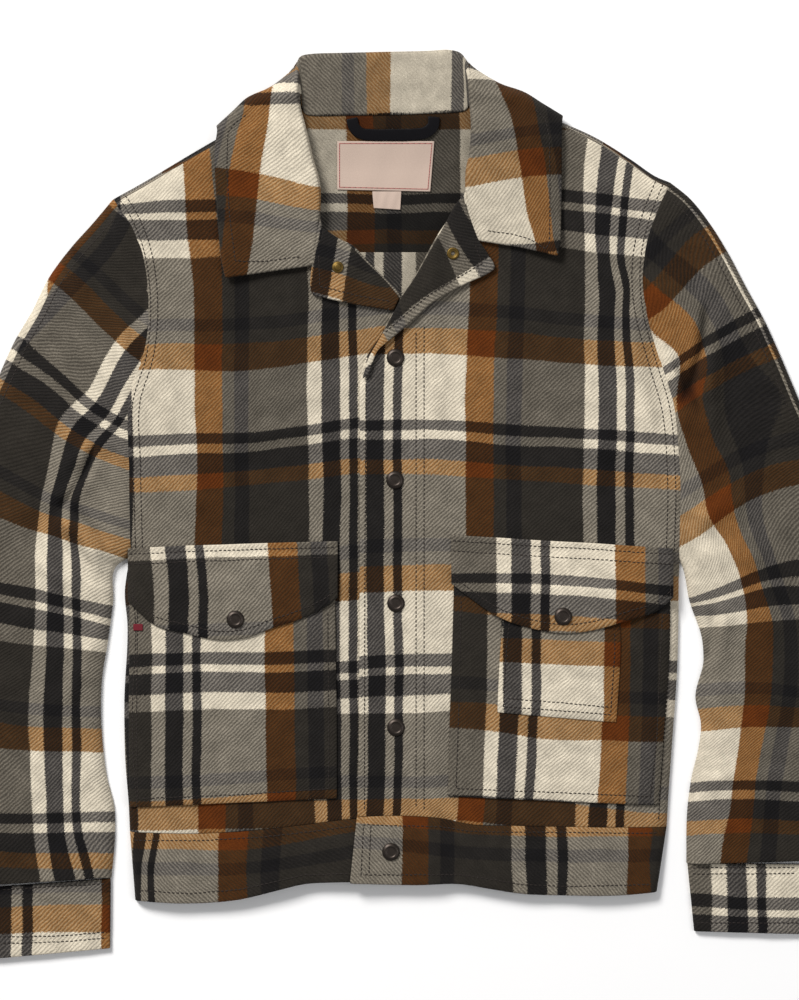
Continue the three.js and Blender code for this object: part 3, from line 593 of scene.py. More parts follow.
def plaid_wool(name, slant):
    """Napped 2/2 twill in the plaid; the cloth's own coordinates are in the weave attribute (squares), and its third
    value is painted shade that darkens the colour.
    """
    g = Nodes(name)
    weave = g.new("ShaderNodeAttribute", attribute_name="weave", attribute_type="GEOMETRY")
    vec = weave.outputs["Vector"]
    s = g.new("ShaderNodeSeparateXYZ")
    g.link(vec, s.inputs[0])
    u, v, w = s.outputs
    flat = g.new("ShaderNodeCombineXYZ")
    g.link(u, flat.inputs[0])
    g.link(v, flat.inputs[1])
    flat = flat.outputs[0]
    # yarns wander a little
    du = g.math("MULTIPLY", g.math("SUBTRACT", g.noise(flat, 0.85, 2.0, 0.6), 0.5), 6.0)
    dv = g.math("MULTIPLY", g.math("SUBTRACT", g.noise(flat, 0.80, 2.0, 0.6, (1, 1, 1.0)), 0.5), 6.0)
    slow = g.math("MULTIPLY", g.math("SUBTRACT", g.noise(flat, 0.018, 1.0), 0.5), 3.0)
    warp = stripes(g, g.math("ADD", u, g.math("ADD", du, slow)), WARP, WARP_REPEAT)
    weft = stripes(g, g.math("ADD", v, g.math("SUBTRACT", dv, slow)), WEFT, WEFT_REPEAT)
    diag = g.math("ADD", u, v) if slant > 0 else g.math("SUBTRACT", u, v)
    wander = g.math("MULTIPLY", g.noise(flat, 0.11, 2.0), 5.5)
    phase = g.math("ADD", g.math("MULTIPLY", diag, 2 * math.pi / 4.3), wander)
    wave = g.math("SINE", phase)
    fuzz = g.noise(flat, 0.62, 4.0, 0.75)
    soft = g.math("ADD", wave, g.math("MULTIPLY", g.math("SUBTRACT", fuzz, 0.5), 6.5))
    m = g.new("ShaderNodeMapRange", interpolation_type="SMOOTHSTEP")
    g.link(soft, m.inputs["Value"])
    for k, val in (("From Min", -1.5), ("From Max", 1.5), ("To Min", 0.29), ("To Max", 0.56)):
        m.inputs[k].default_value = val
    yarn = g.new("ShaderNodeMix", data_type="RGBA", blend_type="MIX", clamp_factor=True)
    g.link(m.outputs[0], yarn.inputs[0])
    g.link(warp, yarn.inputs[6])
    g.link(weft, yarn.inputs[7])
    # nap: pale and dark fibres, patches of wear; the weave attribute's third value adds painted shade on top
    speck = g.math("MULTIPLY", g.math("SUBTRACT", g.noise(flat, 0.75, 4.0, 0.75), 0.5), 0.15)
    blot = g.math("MULTIPLY", g.math("SUBTRACT", g.noise(flat, 0.06, 3.0, 0.6), 0.5), 0.10)
    # painted shade: w, the weave attribute's third value, joins the wear patches in scaling the yarn colour
    wear_and_painted_shade = g.math("ADD", 1.0, g.math("ADD", blot, w))
    scaled = g.new("ShaderNodeVectorMath", operation="SCALE")
    g.link(yarn.outputs[2], scaled.inputs[0])
    g.link(wear_and_painted_shade, scaled.inputs["Scale"])
    toned = g.new("ShaderNodeVectorMath", operation="ADD")
    g.link(scaled.outputs[0], toned.inputs[0])
    g.link(speck, toned.inputs[1])
    gamma = g.new("ShaderNodeGamma")
    g.link(toned.outputs[0], gamma.inputs[0])
    gamma.inputs[1].default_value = ROOT * 2.2
    g.link(gamma.outputs[0], g.bsdf.inputs["Base Color"])
    height = g.math("ADD", g.math("MULTIPLY", wave, 0.34), g.math("MULTIPLY", fuzz, 0.9))
    bump = g.new("ShaderNodeBump")
    bump.inputs["Strength"].default_value = 0.75
    bump.inputs["Distance"].default_value = 0.0007
    g.link(height, bump.inputs["Height"])
    g.link(bump.outputs[0], g.bsdf.inputs["Normal"])
    g.bsdf.inputs["Roughness"].default_value = 0.95
    g.bsdf.inputs["Specular IOR Level"].default_value = 0.12
    g.bsdf.inputs["Sheen Weight"].default_value = 0.05
    g.bsdf.inputs["Sheen Roughness"].default_value = 0.5
    g.bsdf.inputs["Sheen Tint"].default_value = (1.0, 0.93, 0.85, 1.0)
    return g.mat


def plain(name, rgb, rough, metal=0.0, speckle=0.08, scale=900.0, bump=0.0002, sheen=0.0, weave=None, spec=0.3):
    """A simple finish with fine grain; rgb is sRGB 0-255."""
    g = Nodes(name)
    co = g.new("ShaderNodeTexCoord").outputs["Object"]
    n = g.noise(co, scale, 4.0, 0.65)
    lin = [(c / 255.0) ** 2.2 for c in rgb]
    m = g.new("ShaderNodeMix", data_type="RGBA", blend_type="MIX")
    g.link(n, m.inputs[0])
    m.inputs[6].default_value = [c * (1 - speckle * 2) for c in lin] + [1]
    m.inputs[7].default_value = [min(1, c * (1 + speckle * 2)) for c in lin] + [1]
    g.link(m.outputs[2], g.bsdf.inputs["Base Color"])
    h = n
    if weave:
        w = g.new("ShaderNodeTexWave", wave_type="BANDS", bands_direction="DIAGONAL")
        g.link(co, w.inputs["Vector"])
        w.inputs["Scale"].default_value = weave
        w.inputs["Distortion"].default_value = 0.6
        h = g.math("ADD", n, w.outputs["Fac"])
    b = g.new("ShaderNodeBump")
    b.inputs["Strength"].default_value = 0.6
    b.inputs["Distance"].default_value = bump
    g.link(h, b.inputs["Height"])
    g.link(b.outputs[0], g.bsdf.inputs["Normal"])
    g.bsdf.inputs["Roughness"].default_value = rough
    g.bsdf.inputs["Metallic"].default_value = metal
    g.bsdf.inputs["Specular IOR Level"].default_value = spec
    g.bsdf.inputs["Sheen Weight"].default_value = sheen
    return g.mat


WOOL = plaid_wool("wool_plaid_right", 1)
WOOL_L = plaid_wool("wool_plaid_left", -1)
THREAD = plain("thread", (40, 34, 31), 0.7, speckle=0.15, scale=2500)
SATIN = plain("loop_satin", (17, 16, 19), 0.45, speckle=0.12, scale=700, weave=420, bump=0.00012, spec=0.12)
LABEL_CLOTH = plain("label_cloth", (181, 161, 148), 0.85, speckle=0.04, scale=1600, weave=700, bump=0.0001)
LABEL_LINE = plain("label_line", (150, 92, 88), 0.85, speckle=0.06, scale=1600)
TAB = plain("tab_cloth", (96, 22, 34), 0.8, speckle=0.1, scale=1500)
CAP = plain("snap_cap", (62, 56, 52), 0.42, metal=0.85, speckle=0.12, scale=420, bump=0.00008)
BRASS = plain("snap_brass", (98, 80, 44), 0.5, metal=0.9, speckle=0.14, scale=500, bump=0.00008)

WOOL_MATS = {"/": WOOL, "\\": WOOL_L}


# ---- shells ----
def unit(a):
    return a / np.maximum(np.linalg.norm(a, axis=-1, keepdims=True), 1e-9)


def normals_of(P, blur=1):
    du, dv = unit(np.gradient(P, axis=1)), unit(np.gradient(P, axis=0))
    N = unit(np.cross(du, dv))
    for _ in range(blur):
        M = N.copy()
        M[1:-1] = M[1:-1] + 0.5 * (N[:-2] + N[2:])
        M[:, 1:-1] = M[:, 1:-1] + 0.5 * (N[:, :-2] + N[:, 2:])
        N = unit(M)
    return N, du, dv


def make_object(name, verts, quads, weave=None, material=None, tris=()):
    """verts in mm; nothing goes under the surface the coat lies on."""
    verts = np.array(verts, dtype=np.float64)
    verts[:, 2] = np.maximum(verts[:, 2], 0.0)
    me = bpy.data.meshes.new(name)
    quads = np.asarray(quads, dtype=np.int32).reshape(-1, 4)
    me.vertices.add(len(verts))
    me.vertices.foreach_set("co", (np.asarray(verts, dtype=np.float64) / 1000.0).ravel())
    nq, nt = len(quads), len(tris)
    me.loops.add(nq * 4 + nt * 3)
    loops = quads.ravel()
    if nt:
        loops = np.concatenate([loops, np.asarray(tris, dtype=np.int32).ravel()])
    me.loops.foreach_set("vertex_index", loops)
    me.polygons.add(nq + nt)
    starts = np.concatenate([np.arange(nq) * 4, nq * 4 + np.arange(nt) * 3]).astype(np.int32)
    me.polygons.foreach_set("loop_start", starts)
    me.polygons.foreach_set("use_smooth", np.ones(nq + nt, dtype=bool))
    if weave is not None:
        a = me.attributes.new("weave", "FLOAT_VECTOR", "POINT")
        a.data.foreach_set("vector", np.asarray(weave, dtype=np.float64).ravel())
    me.update(calc_edges=True)
    me.validate()
    if material:
        me.materials.append(material)
    o = bpy.data.objects.new(name, me)
    bpy.context.scene.collection.objects.link(o)
    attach(o, "root")
    return o


def shell(name, P, W, thick, nodes, material,
          wrap=False, flip=False, tris_ok=True):
    """Cloth of even thickness with rounded edges on a grid of centre points P (rows, columns, 3), weave W (rows, columns, 3)."""
    if wrap:
        Q = np.concatenate([P[:, -2:-1], P, P[:, 1:2]], axis=1)
        N, du, dv = normals_of(Q)
        N, du, dv = N[:, 1:-1], du[:, 1:-1], dv[:, 1:-1]
        N[:, -1] = N[:, 0] = unit(N[:, 0] + N[:, -1])
    else:
        N, du, dv = normals_of(P)
    h = thick / 2.0
    R, C = P.shape[:2]
    cc = C - 1 if wrap else C
    top, low = P + N * h, P - N * h
    idx = np.arange(R * C).reshape(R, C)
    if wrap:
        idx[:, -1] = idx[:, 0]
    a, b, c, d = idx[:-1, :-1].ravel(), idx[:-1, 1:].ravel(), idx[1:, 1:].ravel(), idx[1:, :-1].ravel()
    n = R * C
    quads = [np.stack([a, b, c, d], 1), np.stack([a + n, d + n, c + n, b + n], 1)]
    verts = [top.reshape(-1, 3), low.reshape(-1, 3)]
    weave = [W.reshape(-1, 3), W.reshape(-1, 3)]

    def rim(loop, out, base, closed):
        k = len(loop)
        Pl, Nl, Wl = P.reshape(-1, 3)[loop], N.reshape(-1, 3)[loop], W.reshape(-1, 3)[loop]
        rings = [np.asarray(loop)]
        for ang in (50, 0, -50):
            r = math.radians(ang)
            verts.append(Pl + out * h * 0.9 * math.cos(r) + Nl * h * math.sin(r))
            weave.append(Wl)
            rings.append(np.arange(k) + base)
            base += k
        rings.append(np.asarray(loop) + n)
        for r0, r1 in zip(rings, rings[1:]):
            if closed:
                quads.append(np.stack([r0, r1, np.roll(r1, -1), np.roll(r0, -1)], 1))
            else:
                quads.append(np.stack([r0[:-1], r1[:-1], r1[1:], r0[1:]], 1))
        return base

    if wrap:
        base = rim(idx[0, :-1], -unit(dv[0, :-1]), 2 * n, True)
        rim(idx[-1, :-1][::-1], unit(dv[-1, :-1])[::-1], base, True)
    else:
        loop = np.concatenate([idx[0, :], idx[1:, -1], idx[-1, :-1][::-1], idx[1:-1, 0][::-1]])
        out = np.concatenate([-dv[0, :], du[1:, -1], dv[-1, :-1][::-1], -du[1:-1, 0][::-1]])
        out[0] = -dv[0, 0] - du[0, 0]
        out[C - 1] = -dv[0, -1] + du[0, -1]
        out[C - 1 + R - 1] = dv[-1, -1] + du[-1, -1]
        out[C - 1 + R - 1 + C - 1] = dv[-1, 0] - du[-1, 0]
        rim(loop, unit(out), 2 * n, True)
    verts, weave, quads = np.concatenate(verts), np.concatenate(weave), np.concatenate(quads)
    # face outwards
    v = verts
    vol = np.einsum("ij,ij->i", v[quads[:, 0]], np.cross(v[quads[:, 1]] - v[quads[:, 0]], v[quads[:, 2]] - v[quads[:, 0]])).sum() \
        + np.einsum("ij,ij->i", v[quads[:, 0]], np.cross(v[quads[:, 2]] - v[quads[:, 0]], v[quads[:, 3]] - v[quads[:, 0]])).sum()
    if vol < 0:
        quads = quads[:, ::-1]
    if wrap:                                   # drop the doubled seam column
        used = np.unique(quads)
        remap = -np.ones(len(verts), dtype=int)
        remap[used] = np.arange(len(used))
        verts, weave, quads = verts[used], weave[used], remap[quads]
    o = make_object(name, verts, quads, weave, material)
    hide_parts(*nodes)
    TREES[name] = BVHTree.FromPolygons([tuple(p) for p in verts], [tuple(int(k) for k in f) for f in quads])
    return o


TREES = {}


def thin_plate(pts):
    """A smooth function of the place through (x, y, value) points."""
    p = np.array(pts, float)
    n = len(p)
    s = 100.0
    mx, my = p[:, 0].mean(), p[:, 1].mean()
    x, y, f = p[:, 0] - mx, p[:, 1] - my, p[:, 2]

    def U(r2):
        return np.where(r2 > 1e-12, r2 * np.log(np.maximum(r2, 1e-12)), 0.0)

    K = U(((x[:, None] - x) ** 2 + (y[:, None] - y) ** 2) / s**2) + np.eye(n) * 0.02
    Pm = np.stack([x / s, y / s, np.ones(n)], 1)
    A = np.block([[K, Pm], [Pm.T, np.zeros((3, 3))]])
    sol = np.linalg.lstsq(A, np.concatenate([f, np.zeros(3)]), rcond=1e-9)[0]

    def g(X, Y):
        X, Y = np.asarray(X, float) - mx, np.asarray(Y, float) - my
        out = sol[n] * X / s + sol[n + 1] * Y / s + sol[n + 2]
        for k in range(n):
            out = out + sol[k] * U(((X - x[k]) ** 2 + (Y - y[k]) ** 2) / s**2)
        return out

    return g


def weave_of(u_rows, v_rows, wear_and_painted_shade=0.0):
    """u_rows and v_rows are tables x y u and x y v: where the plaid's stripes cross the piece. wear_and_painted_shade
    is here painted shade only: a fixed darkening of the whole piece's colour where it lies deep or in shadow.
    """
    fu = thin_plate(np.stack([u_rows["x"], u_rows["y"], u_rows["u"]], 1))
    fv = thin_plate(np.stack([v_rows["x"], v_rows["y"], v_rows["v"]], 1))
    return lambda x, y: np.stack([fu(x, y), fv(x, y), np.full(np.shape(x), wear_and_painted_shade)], -1)


# ---- where the plaid falls on each piece (squares; u across the warp stripes, v across the weft stripes) ----
W_FRONT_L = weave_of(table("""x y u
402 380 0
465 380 63
493 380 91
584 380 182
625 380 223
634 380 232.5
402 480 0
465 480 63
493 500 91
582 500 182
402 600 0
465 600 62
493 600 91
584 700 184
402 790 0
457 812 63
483 812 91
575 816 182
587.5 816 196
608 816 214
613 816 223
624 816 232.5
637 600 234
484 300 78
583.5 159 182
584 226 182
584 259 182
583.5 292 182
600 159 196
594 226 196
598 259 196
619 159 214
609 226 214
609 259 214
616 292 214
627 159 223
617.5 226 223
616 259 223
622.5 292 223
633 168 232.5
627.5 209 232.5
624 242 232.5
629 309 232.5
362 600 -41
362 800 -41"""), table("""x y v
430 328 -26
430 354 0
430 418.6 63
430 429 75
430 438 84
430 458.6 104.5
430 474.7 120
430 538 185
430 565 211
430 591 237
430 654 300
430 674 320.5
430 711 356
430 798 447
430 819 474
560 801 447
560 833 474
640 812 447
640 838 474
650 700 342
490 357 0
490 421.4 63
490 463 104.5
596 340 -26
596 365 0
596 428 63
596 438.7 75
596 447.6 84
596 468.6 104.5
596 485.4 120
670 370 2
670 432 62
590 192 -174
590 203 -162.5
590 212 -153.5
590 234 -133.5
590 250.5 -118
645 211 -162.5
645 220 -153.5
645 239 -133.5
645 256 -118
480 250 -104
560 150 -216
366 400 44
366 592 236
366 800 448"""))
# painted shade: the right front's colour is darkened slightly as a whole (the last argument)
W_FRONT_R = weave_of(table("""x y u
182 158 63
188 240 63
194 300 63
194 380 63
210 158 91
219 240 91
222 300 91
222 380 91
306 380 182
322 380 196
340 380 214
358 380 232.5
194 480 60
222 480 90
306 480 180
322 480 194
348 480 222
296 270 170
340 800 212
322 700 194
150 600 20
138 818 0
198 818 63
225 818 91
314.5 812 182
328 812 196
341 812 214
349 812 223"""), table("""x y v
122 205 -174
182 199.7 -174
122 220 -153.5
190 220 -153.5
135 239 -133.5
190 238.6 -133.5
145 257 -118
190 257 -118
180 343 -26
180 370 0
180 430 61
180 469 99
250 343 -26
250 370 -1
250 431 63
250 469 104
345 331 -26
345 357 0
345 418 63
345 458 104
345 600 236
345 800 448
200 520 150
150 480 108
160 803 447
160 831 474
300 800 447
300 828 474
270 250 -122"""), -0.01)
# painted shade: the yoke's colour is darkened where it lies in the shade inside the neck (the last argument)
W_YOKE = weave_of(table("""x y u
303 160 20
346 160 63
346 240 63
374 160 91
374 240 91
460 160 182
470 160 193"""), table("""x y v
386 115 -14
386 129 0
386 193.6 63
386 203 75
386 213 84
386 227 104.5
386 243.5 120"""), -0.07)
# painted shade: the back's colour is darkened where it lies in shade under the fronts (the last argument)
W_BACK = weave_of(table("""x y u
375 300 223
384 300 214
402 300 196
416 300 182
386 600 214"""), table("""x y v
386 252 240
386 300 290
386 600 594
600 300 290"""), -0.055)
W_POCKET_R = weave_of(table("""x y u
151.6 650 182
166 650 196
184 650 214
192.7 650 223
201.3 650 232.5
266.4 650 297
294 650 324
151.6 785 182
166 785 196
201.3 785 232.5
268 785 297
296 785 324"""), table("""x y v
200 652.5 300
200 662 311.5
200 671.8 320.5
200 692.6 340.5
200 709 356
200 798 447
300 651 300
300 708 356
300 790 447"""))
W_FLAP_R = weave_of(table("""x y u
150.6 550 182
155 618 182
165 550 196
169 618 196
186 550 214
190 600 214
204 550 232.5
209 630 232.5
269 550 297
273 600 297
297.6 550 324
300 590 324"""), table("""x y v
140 560 356
330 554 356
140 600 396
330 600 402
220 625 424"""))
W_POCKET_L = weave_of(table("""x y u
484 760 182
497 760 196
536 760 232.5
601 760 297
627 760 324
487 620 182
606 620 300
482 790 182
599 790 297"""), table("""x y v
455 702.4 211
455 728 237
487 703 211
487 730 237
545 713 211
545 739 237
600 716 211
600 740 237
655 717 211
655 742 237
450 795.5 300
540 798.5 300
625 803.5 300
540 600 100
470 600 108"""))
W_FLAP_L = weave_of(table("""x y u
496 560 182
511 560 196
550 560 232.5
616 560 297
644 560 324"""), table("""x y v
455 572 63
455 582 75
500 571.5 63
500 582 75
500 591.4 84
545 613 104.5
545 640 129
615 578.5 63
615 588 75
615 597.8 84
615 618 104.5
470 536 26
640 552 31"""))
W_POCKET_S = weave_of(table("""x y u
503 680 196
521 680 214
541 680 232.5
604 680 297
617 680 310"""), table("""x y v
510 638 211
510 662 237
600 642 211
600 666 237
560 720 294"""))
W_BAND_R = weave_of(table("""x y u
134 865 196
141.3 865 214
147.2 865 223
155 865 232.5
219 865 297
246 865 324
351 865 408
141.3 890 214
155 890 232.5
219 845 297
219 890 297"""), table("""x y v
160 833 226
160 848 211
250 833 226
250 848 211
340 820 224
340 832 212
200 895 164
340 878 166"""))
W_BAND_L = weave_of(table("""x y u
360 860 21
402 860 63
428 860 91
511 860 182
525 860 196
557 860 223
568 860 232.5
627 860 295.5
648 860 323.5
666 860 341
402 830 63
525 830 196
627 830 295.5"""), table("""x y v
390 815 221
390 824 211
500 826 220
500 834 211
640 827 219
640 835 211
500 890 155
640 892 154
390 880 155"""))
W_CUFF_R = weave_of(table("""x y u
11 920 -18.5
22 920 -9.5
33 920 0
101 920 63
111 920 73
33 890 0
101 890 63"""), table("""x y v
50 884 188
50 905 211
50 933 237
50 950 252
100 884 188
100 905 211
100 933 237"""))
W_CUFF_L = weave_of(table("""x y u
711 900 182
727 900 196
748 900 214
757 900 223
766.6 900 232.5
711 925 182
748 925 214"""), table("""x y v
740 898 300
740 908 311.5
740 917.5 320.5
740 931 335
780 898 300
780 917.5 320.5
740 870 275"""))
W_LAPEL_L = weave_of(table("""x y u
493 265 191
464 284 191
430 303.5 191
409 322 191
388 340.5 191
377 351.5 191
452 254 160
437 239 139
463 200 120
400 310 176"""), table("""x y v
476 271 340.5
458 282 356
385 337 447
371 352 474
493 265 325
458 225 330
452 254 350
430 260 378
400 300 420
463 200 316"""))
W_LAPEL_R = weave_of(table("""x y u
344 290 182
329 290 196
351 250 182
336 250 196
312 290 213
390 300 138"""), table("""x y v
313 292 236
354 303.5 236
393 309.5 236
312 268 211
345 276 211
385 289 211
335 240 176
350 247 180
366 262 186"""))
W_SLEEVE_R = weave_of(table("""x y u
142 315 182
116 340 182
90 389 182
60.6 417 182
53 447 182
46 483 182
39 520 182
36 567 182
138 364 214
121 391 214
104 420 214
83 443 214
63 500 214
70 522 223
63 567 214
71.7 567 223
80.3 567 232
100 567 251
47.6 567 196
36 620 182
46.5 620 196
64 620 214
73 620 223
81 620 232
29.5 700 182
44 700 196
64 700 214
72.5 700 223
80.3 700 232
107 700 258
32 800 182
47 800 196
63.5 800 214
71.7 800 223
80.3 800 232
112 800 262
33 829 182
47 829 196
64.5 829 214
73 829 223
82 829 232
40 875 182
53.5 875 196
76.3 875 214
84 875 223
94 875 232
0 480 138
0 560 146
0 700 156
-40 560 104
-60 700 96
111 208 98
100 230 96
60 272 96
40 300 100
20 340 112
0 400 132"""), table("""x y v
70 270 -26
128 325 -26
58 286 0
114 339 0
24 345 69
75 391 69
19 360 79.5
70 396 79.5
12 374 94
65 413 94
10 391 112
53 422 112
111 457 112
0 495 214
42 515 214
0 518 237
48 534 237
0 583 300
0 603 321
0 624 342
0 641 357
0 721 446
0 749 474
0 812 537
0 830 556
0 850 578
0 868 594
112 606 300
112 628 321
112 642 342
112 729 446
112 755 474
112 811 537
-60 700 440
-50 560 290"""))
W_SLEEVE_L = weave_of(table("""x y u
654 336 63
679 358 63
676 403 63
683 434 63
701 482 63
708 518 63
724 541 63
737 568 63
744 596 63
744 640 63
743 700 63
737 754 63
732 782 63
729.5 808 63
723 834 63
720 859 63
687 314 91
701 342 91
701 395 91
713 443 91
729 476 91
732 508 91
742 540 91
755 567 91
762 594 91
771 620 91
771 660 91
767 714 91
759 754 91
754 781 91
752 808 91
748 840 91
746 859 91
700 700 20
675 220 133
698 222 140
690 280 112
720 330 108
760 330 132
664 240 122
799 398 124
790 480 140
860 600 190
840 800 172"""), table("""x y v
694 234 -26
660 273 -26
721 255 0
660 312 0
751 315 69
703 343 69
772 351 112
686 396 112
680 200 -66
690 196 -62
799 461 211
725 487 211
799 485 237
736 508 237
690 599 300
798 560 300
692 616 342
798 600 332
699 628 357
798 604 342
700 707 446
798 694 430
700 733 474
790 718 462
705 780 537
790 780 537
705 820 578
790 820 578
705 834.6 594
850 560 290
860 700 440"""))
WING_R_U, WING_R_V = (thin_plate(np.stack(list(table(rows).values()), 1)) for rows in ("""x y u
272 106 62
262.8 170 62
254.7 239 62
250 271 62
246.6 112 90
241 130 90
231 172 90
227.6 215 90
223 255 90
300 107 35
318 195 7
312 265 3""", """x y v
217 169 0
263 175.5 0
317 188 0
226 197 -26
259 201 -26
320 212 -26
225 272 -100
300 268 -92
246 112 60
275 107 63
300 107 63
290 66 104"""))
WING_L_U, WING_L_V = (thin_plate(np.stack(list(table(rows).values()), 1)) for rows in ("""x y u
489.8 78 62
506 110 62
513.8 139.6 62
520.4 179.4 62
526.2 217.6 62
534.5 242.4 62
530.4 103 90
537 134.6 90
543.7 166 90
548.6 209 90
550.8 239 90
472 150 22
466 200 6
480 238 10
463 75 32""", """x y v
471.5 159.5 448
514.6 152 448
556 149 448
465 190 474
518 180 474
556 176 474
533 244 537
556 241 537
478 240 533
470 75 350
500 85 360
540 105 396"""))


# ---- body fronts ----
def rows_of(sections, keys, step=STEP):
    """Smooth rows through the sections: position in the sections, and each named column there."""
    pts = np.stack([sections[k] for k in keys], 1)
    s = np.concatenate([[0], np.cumsum(np.sqrt((np.diff(pts, axis=0) ** 2).sum(1) / (len(keys) / 2)))])
    n = int(s[-1] * SQUARE / step) + 1
    q = np.linspace(0, s[-1], n)
    pos = np.interp(q, s, np.arange(len(s)))
    return pos, [curve(s, sections[k], q) for k in keys]


def columns_from(first, total, step=STEP):
    """The number of even steps (at least 4) across what is left of total after the turned-down edge's last distance."""
    n = max(4, int((total - first[-1]) / step))
    return n


def front(name, sections, seam, shoulder, side, armhole, tip, neck, near_tip, near_neck, tip_depth, neck_depth, z_of, weave, nodes, z_extra=None):
    pos, (ax, ay, bx, by) = rows_of(sections, ("ax", "ay", "bx", "by"))
    # the outline itself
    on_arm = ay < 556
    ax = np.where(on_arm, curve(armhole["y"], armhole["x"], ay), curve(side["y"], side["x"], ay))
    share_top = np.ones(len(ax))
    t = TURN_DOWN
    order = np.arange(len(t["d"]))[::-1]
    tops = []
    for k in order:
        d = t["d"][k]
        tops.append((mix(tip[0], near_tip[0], d / tip_depth), mix(tip[1], near_tip[1], d / tip_depth),
                     mix(neck[0], near_neck[0], d / neck_depth), mix(neck[1], near_neck[1], d / neck_depth), t["share"][k]))
    tops = np.array(tops)
    n_sec = len(sections["ax"])
    ax, ay, bx, by = (np.concatenate([a, tops[:, i]]) for i, a in enumerate((ax, ay, bx, by)))
    share_top = np.concatenate([share_top, tops[:, 4]])
    pos = np.concatenate([pos, np.linspace(n_sec - 1, n_sec + 4, len(tops) + 1)[1:]])
    width = np.hypot(ax - bx, ay - by) * SQUARE
    flat_side = 1 - smooth((ay - 556) / 34)
    m = int(width.max() / STEP)
    dist = np.array([[mix(t["d"][i], 0.12 + 1.1 * i, f) for i in range(len(t["d"]))] for f in flat_side])
    share = np.array([[mix(t["share"][i], 1.0, f) for i in range(len(t["d"]))] for f in flat_side])
    rest = np.linspace(0, 1, m + 1)[1:]
    T = np.concatenate([dist / width[:, None], mix(dist[:, -1:] / width[:, None], 1.0, rest[None, :])], axis=1)
    S = np.concatenate([share, np.ones((len(ax), m))], axis=1) * share_top[:, None]
    x = mix(ax[:, None], bx[:, None], T)
    near_seam = np.clip(1 - pos / 3, 0, 1)[:, None]
    near_top = np.clip((pos - (n_sec - 5)) / 5, 0, 1)[:, None]
    hem = curve(seam["x"], seam["y"], x) - mix(sections["ay"][0], sections["by"][0], np.clip((x - sections["ax"][0]) / (sections["bx"][0] - sections["ax"][0]), 0, 1))
    top = curve(shoulder["x"], shoulder["y"], x) - mix(tip[1], neck[1], np.clip((x - tip[0]) / (neck[0] - tip[0]), 0, 1))
    y = mix(ay[:, None], by[:, None], T) + hem * near_seam + top * near_top - 0.35 * (pos[:, None] < 0.02)
    base = lift(x, y)
    z = z_of(x, y)
    # the seam's edge sinks a little along the armhole
    seam_dip = 0.9 * np.exp(-((T * width[:, None]) / 2.2) ** 2) * flat_side[:, None]
    z = base + 0.02 + (z - base - seam_dip) * S
    X, Y = mm(x, y)
    drop = (1 - S) * 4.0
    W = weave(x, y)
    behind = share_top[:, None] < 0.93
    W[..., 1] = np.where(behind & (y < 300), 94.0 - drop, W[..., 1])
    W[..., 0] = np.where(behind & (y < 300), W[..., 0] * 1.5, W[..., 0])
    P = np.stack([X, Y, z], -1)
    return shell(name, P, W, CLOTH, nodes, WOOL)


front("front_right_cloth", FRONT_R, SEAM_R, SHOULDER_R, SIDE_R, ARMHOLE_R, (112.7, 199), (297.6, 92.8), (121, 210), (289.6, 108), 11.7, 8.5,
      front_z, W_FRONT_R, ["front_right"])
front("front_left_cloth", FRONT_L, SEAM_L, SHOULDER_L, SIDE_L, ARMHOLE_L, (669.5, 181.5), (475.4, 86.4), (655, 217), (483.4, 106), 29.0, 14.0,
      lap_z, W_FRONT_L, ["front_left"])


# ---- back yoke and back ----
def back_yoke():
    n = int((669.5 - 112.7) * SQUARE / 3.0)
    x_top = np.linspace(112.7, 669.5, n)
    y_top = np.interp(x_top, YOKE_TOP["x"], YOKE_TOP["y"]) + np.interp(x_top, YOKE_TOP["x"], YOKE_TOP["in"]) * 7.6
    rows = 46
    s = np.linspace(0, 1, rows)
    ly, ry = mix(206, 252, s), mix(192, 252, s)
    left, right = curve(ARMHOLE_R["y"], ARMHOLE_R["x"], ly) + 0.5, curve(ARMHOLE_L["y"], ARMHOLE_L["x"], ry) - 0.5
    t = (x_top - 112.7) / (669.5 - 112.7)
    S, T = np.meshgrid(s, t, indexing="ij")
    x_end = mix(left[-1], right[-1], t)
    x = mix(x_top[None, :], x_end[None, :], S)
    y = mix(np.broadcast_to(y_top, S.shape), 251.8, S)
    edge_l, edge_r = (x < left[:, None]), (x > right[:, None])
    x = np.where(edge_l, left[:, None], np.where(edge_r, right[:, None], x))
    z = back_z(x, y) - 0.05
    X, Y = mm(x, y)
    return shell("back_yoke_cloth", np.stack([X, Y, z], -1), W_YOKE(x, y), CLOTH, ["back_yoke"], WOOL_L)


def back():
    arm_y = np.linspace(252.3, 555, 90)
    side_y = np.linspace(557, 826.5, 80)
    ly = np.concatenate([arm_y, np.linspace(557, 831.1, 80)])
    ry = np.concatenate([arm_y, side_y])
    inset = np.concatenate([np.where(arm_y > 530, 2.4, 0.4), np.full(80, (UNDER_INSET + 0.3) / SQUARE)])
    lx = np.where(ly < 556, curve(ARMHOLE_R["y"], ARMHOLE_R["x"], ly), curve(SIDE_R["y"], SIDE_R["x"], ly)) + inset
    rx = np.where(ry < 556, curve(ARMHOLE_L["y"], ARMHOLE_L["x"], ry), curve(SIDE_L["y"], SIDE_L["x"], ry)) - inset
    t = np.linspace(0, 1, 120)
    x = mix(lx[:, None], rx[:, None], t[None, :])
    y = mix(ly[:, None], ry[:, None], t[None, :])
    X, Y = mm(x, y)
    z = np.full(x.shape, CLOTH / 2)
    return shell("back_cloth", np.stack([X, Y, z], -1), W_BACK(x, y), CLOTH, ["back"], WOOL)


back_yoke()
back()


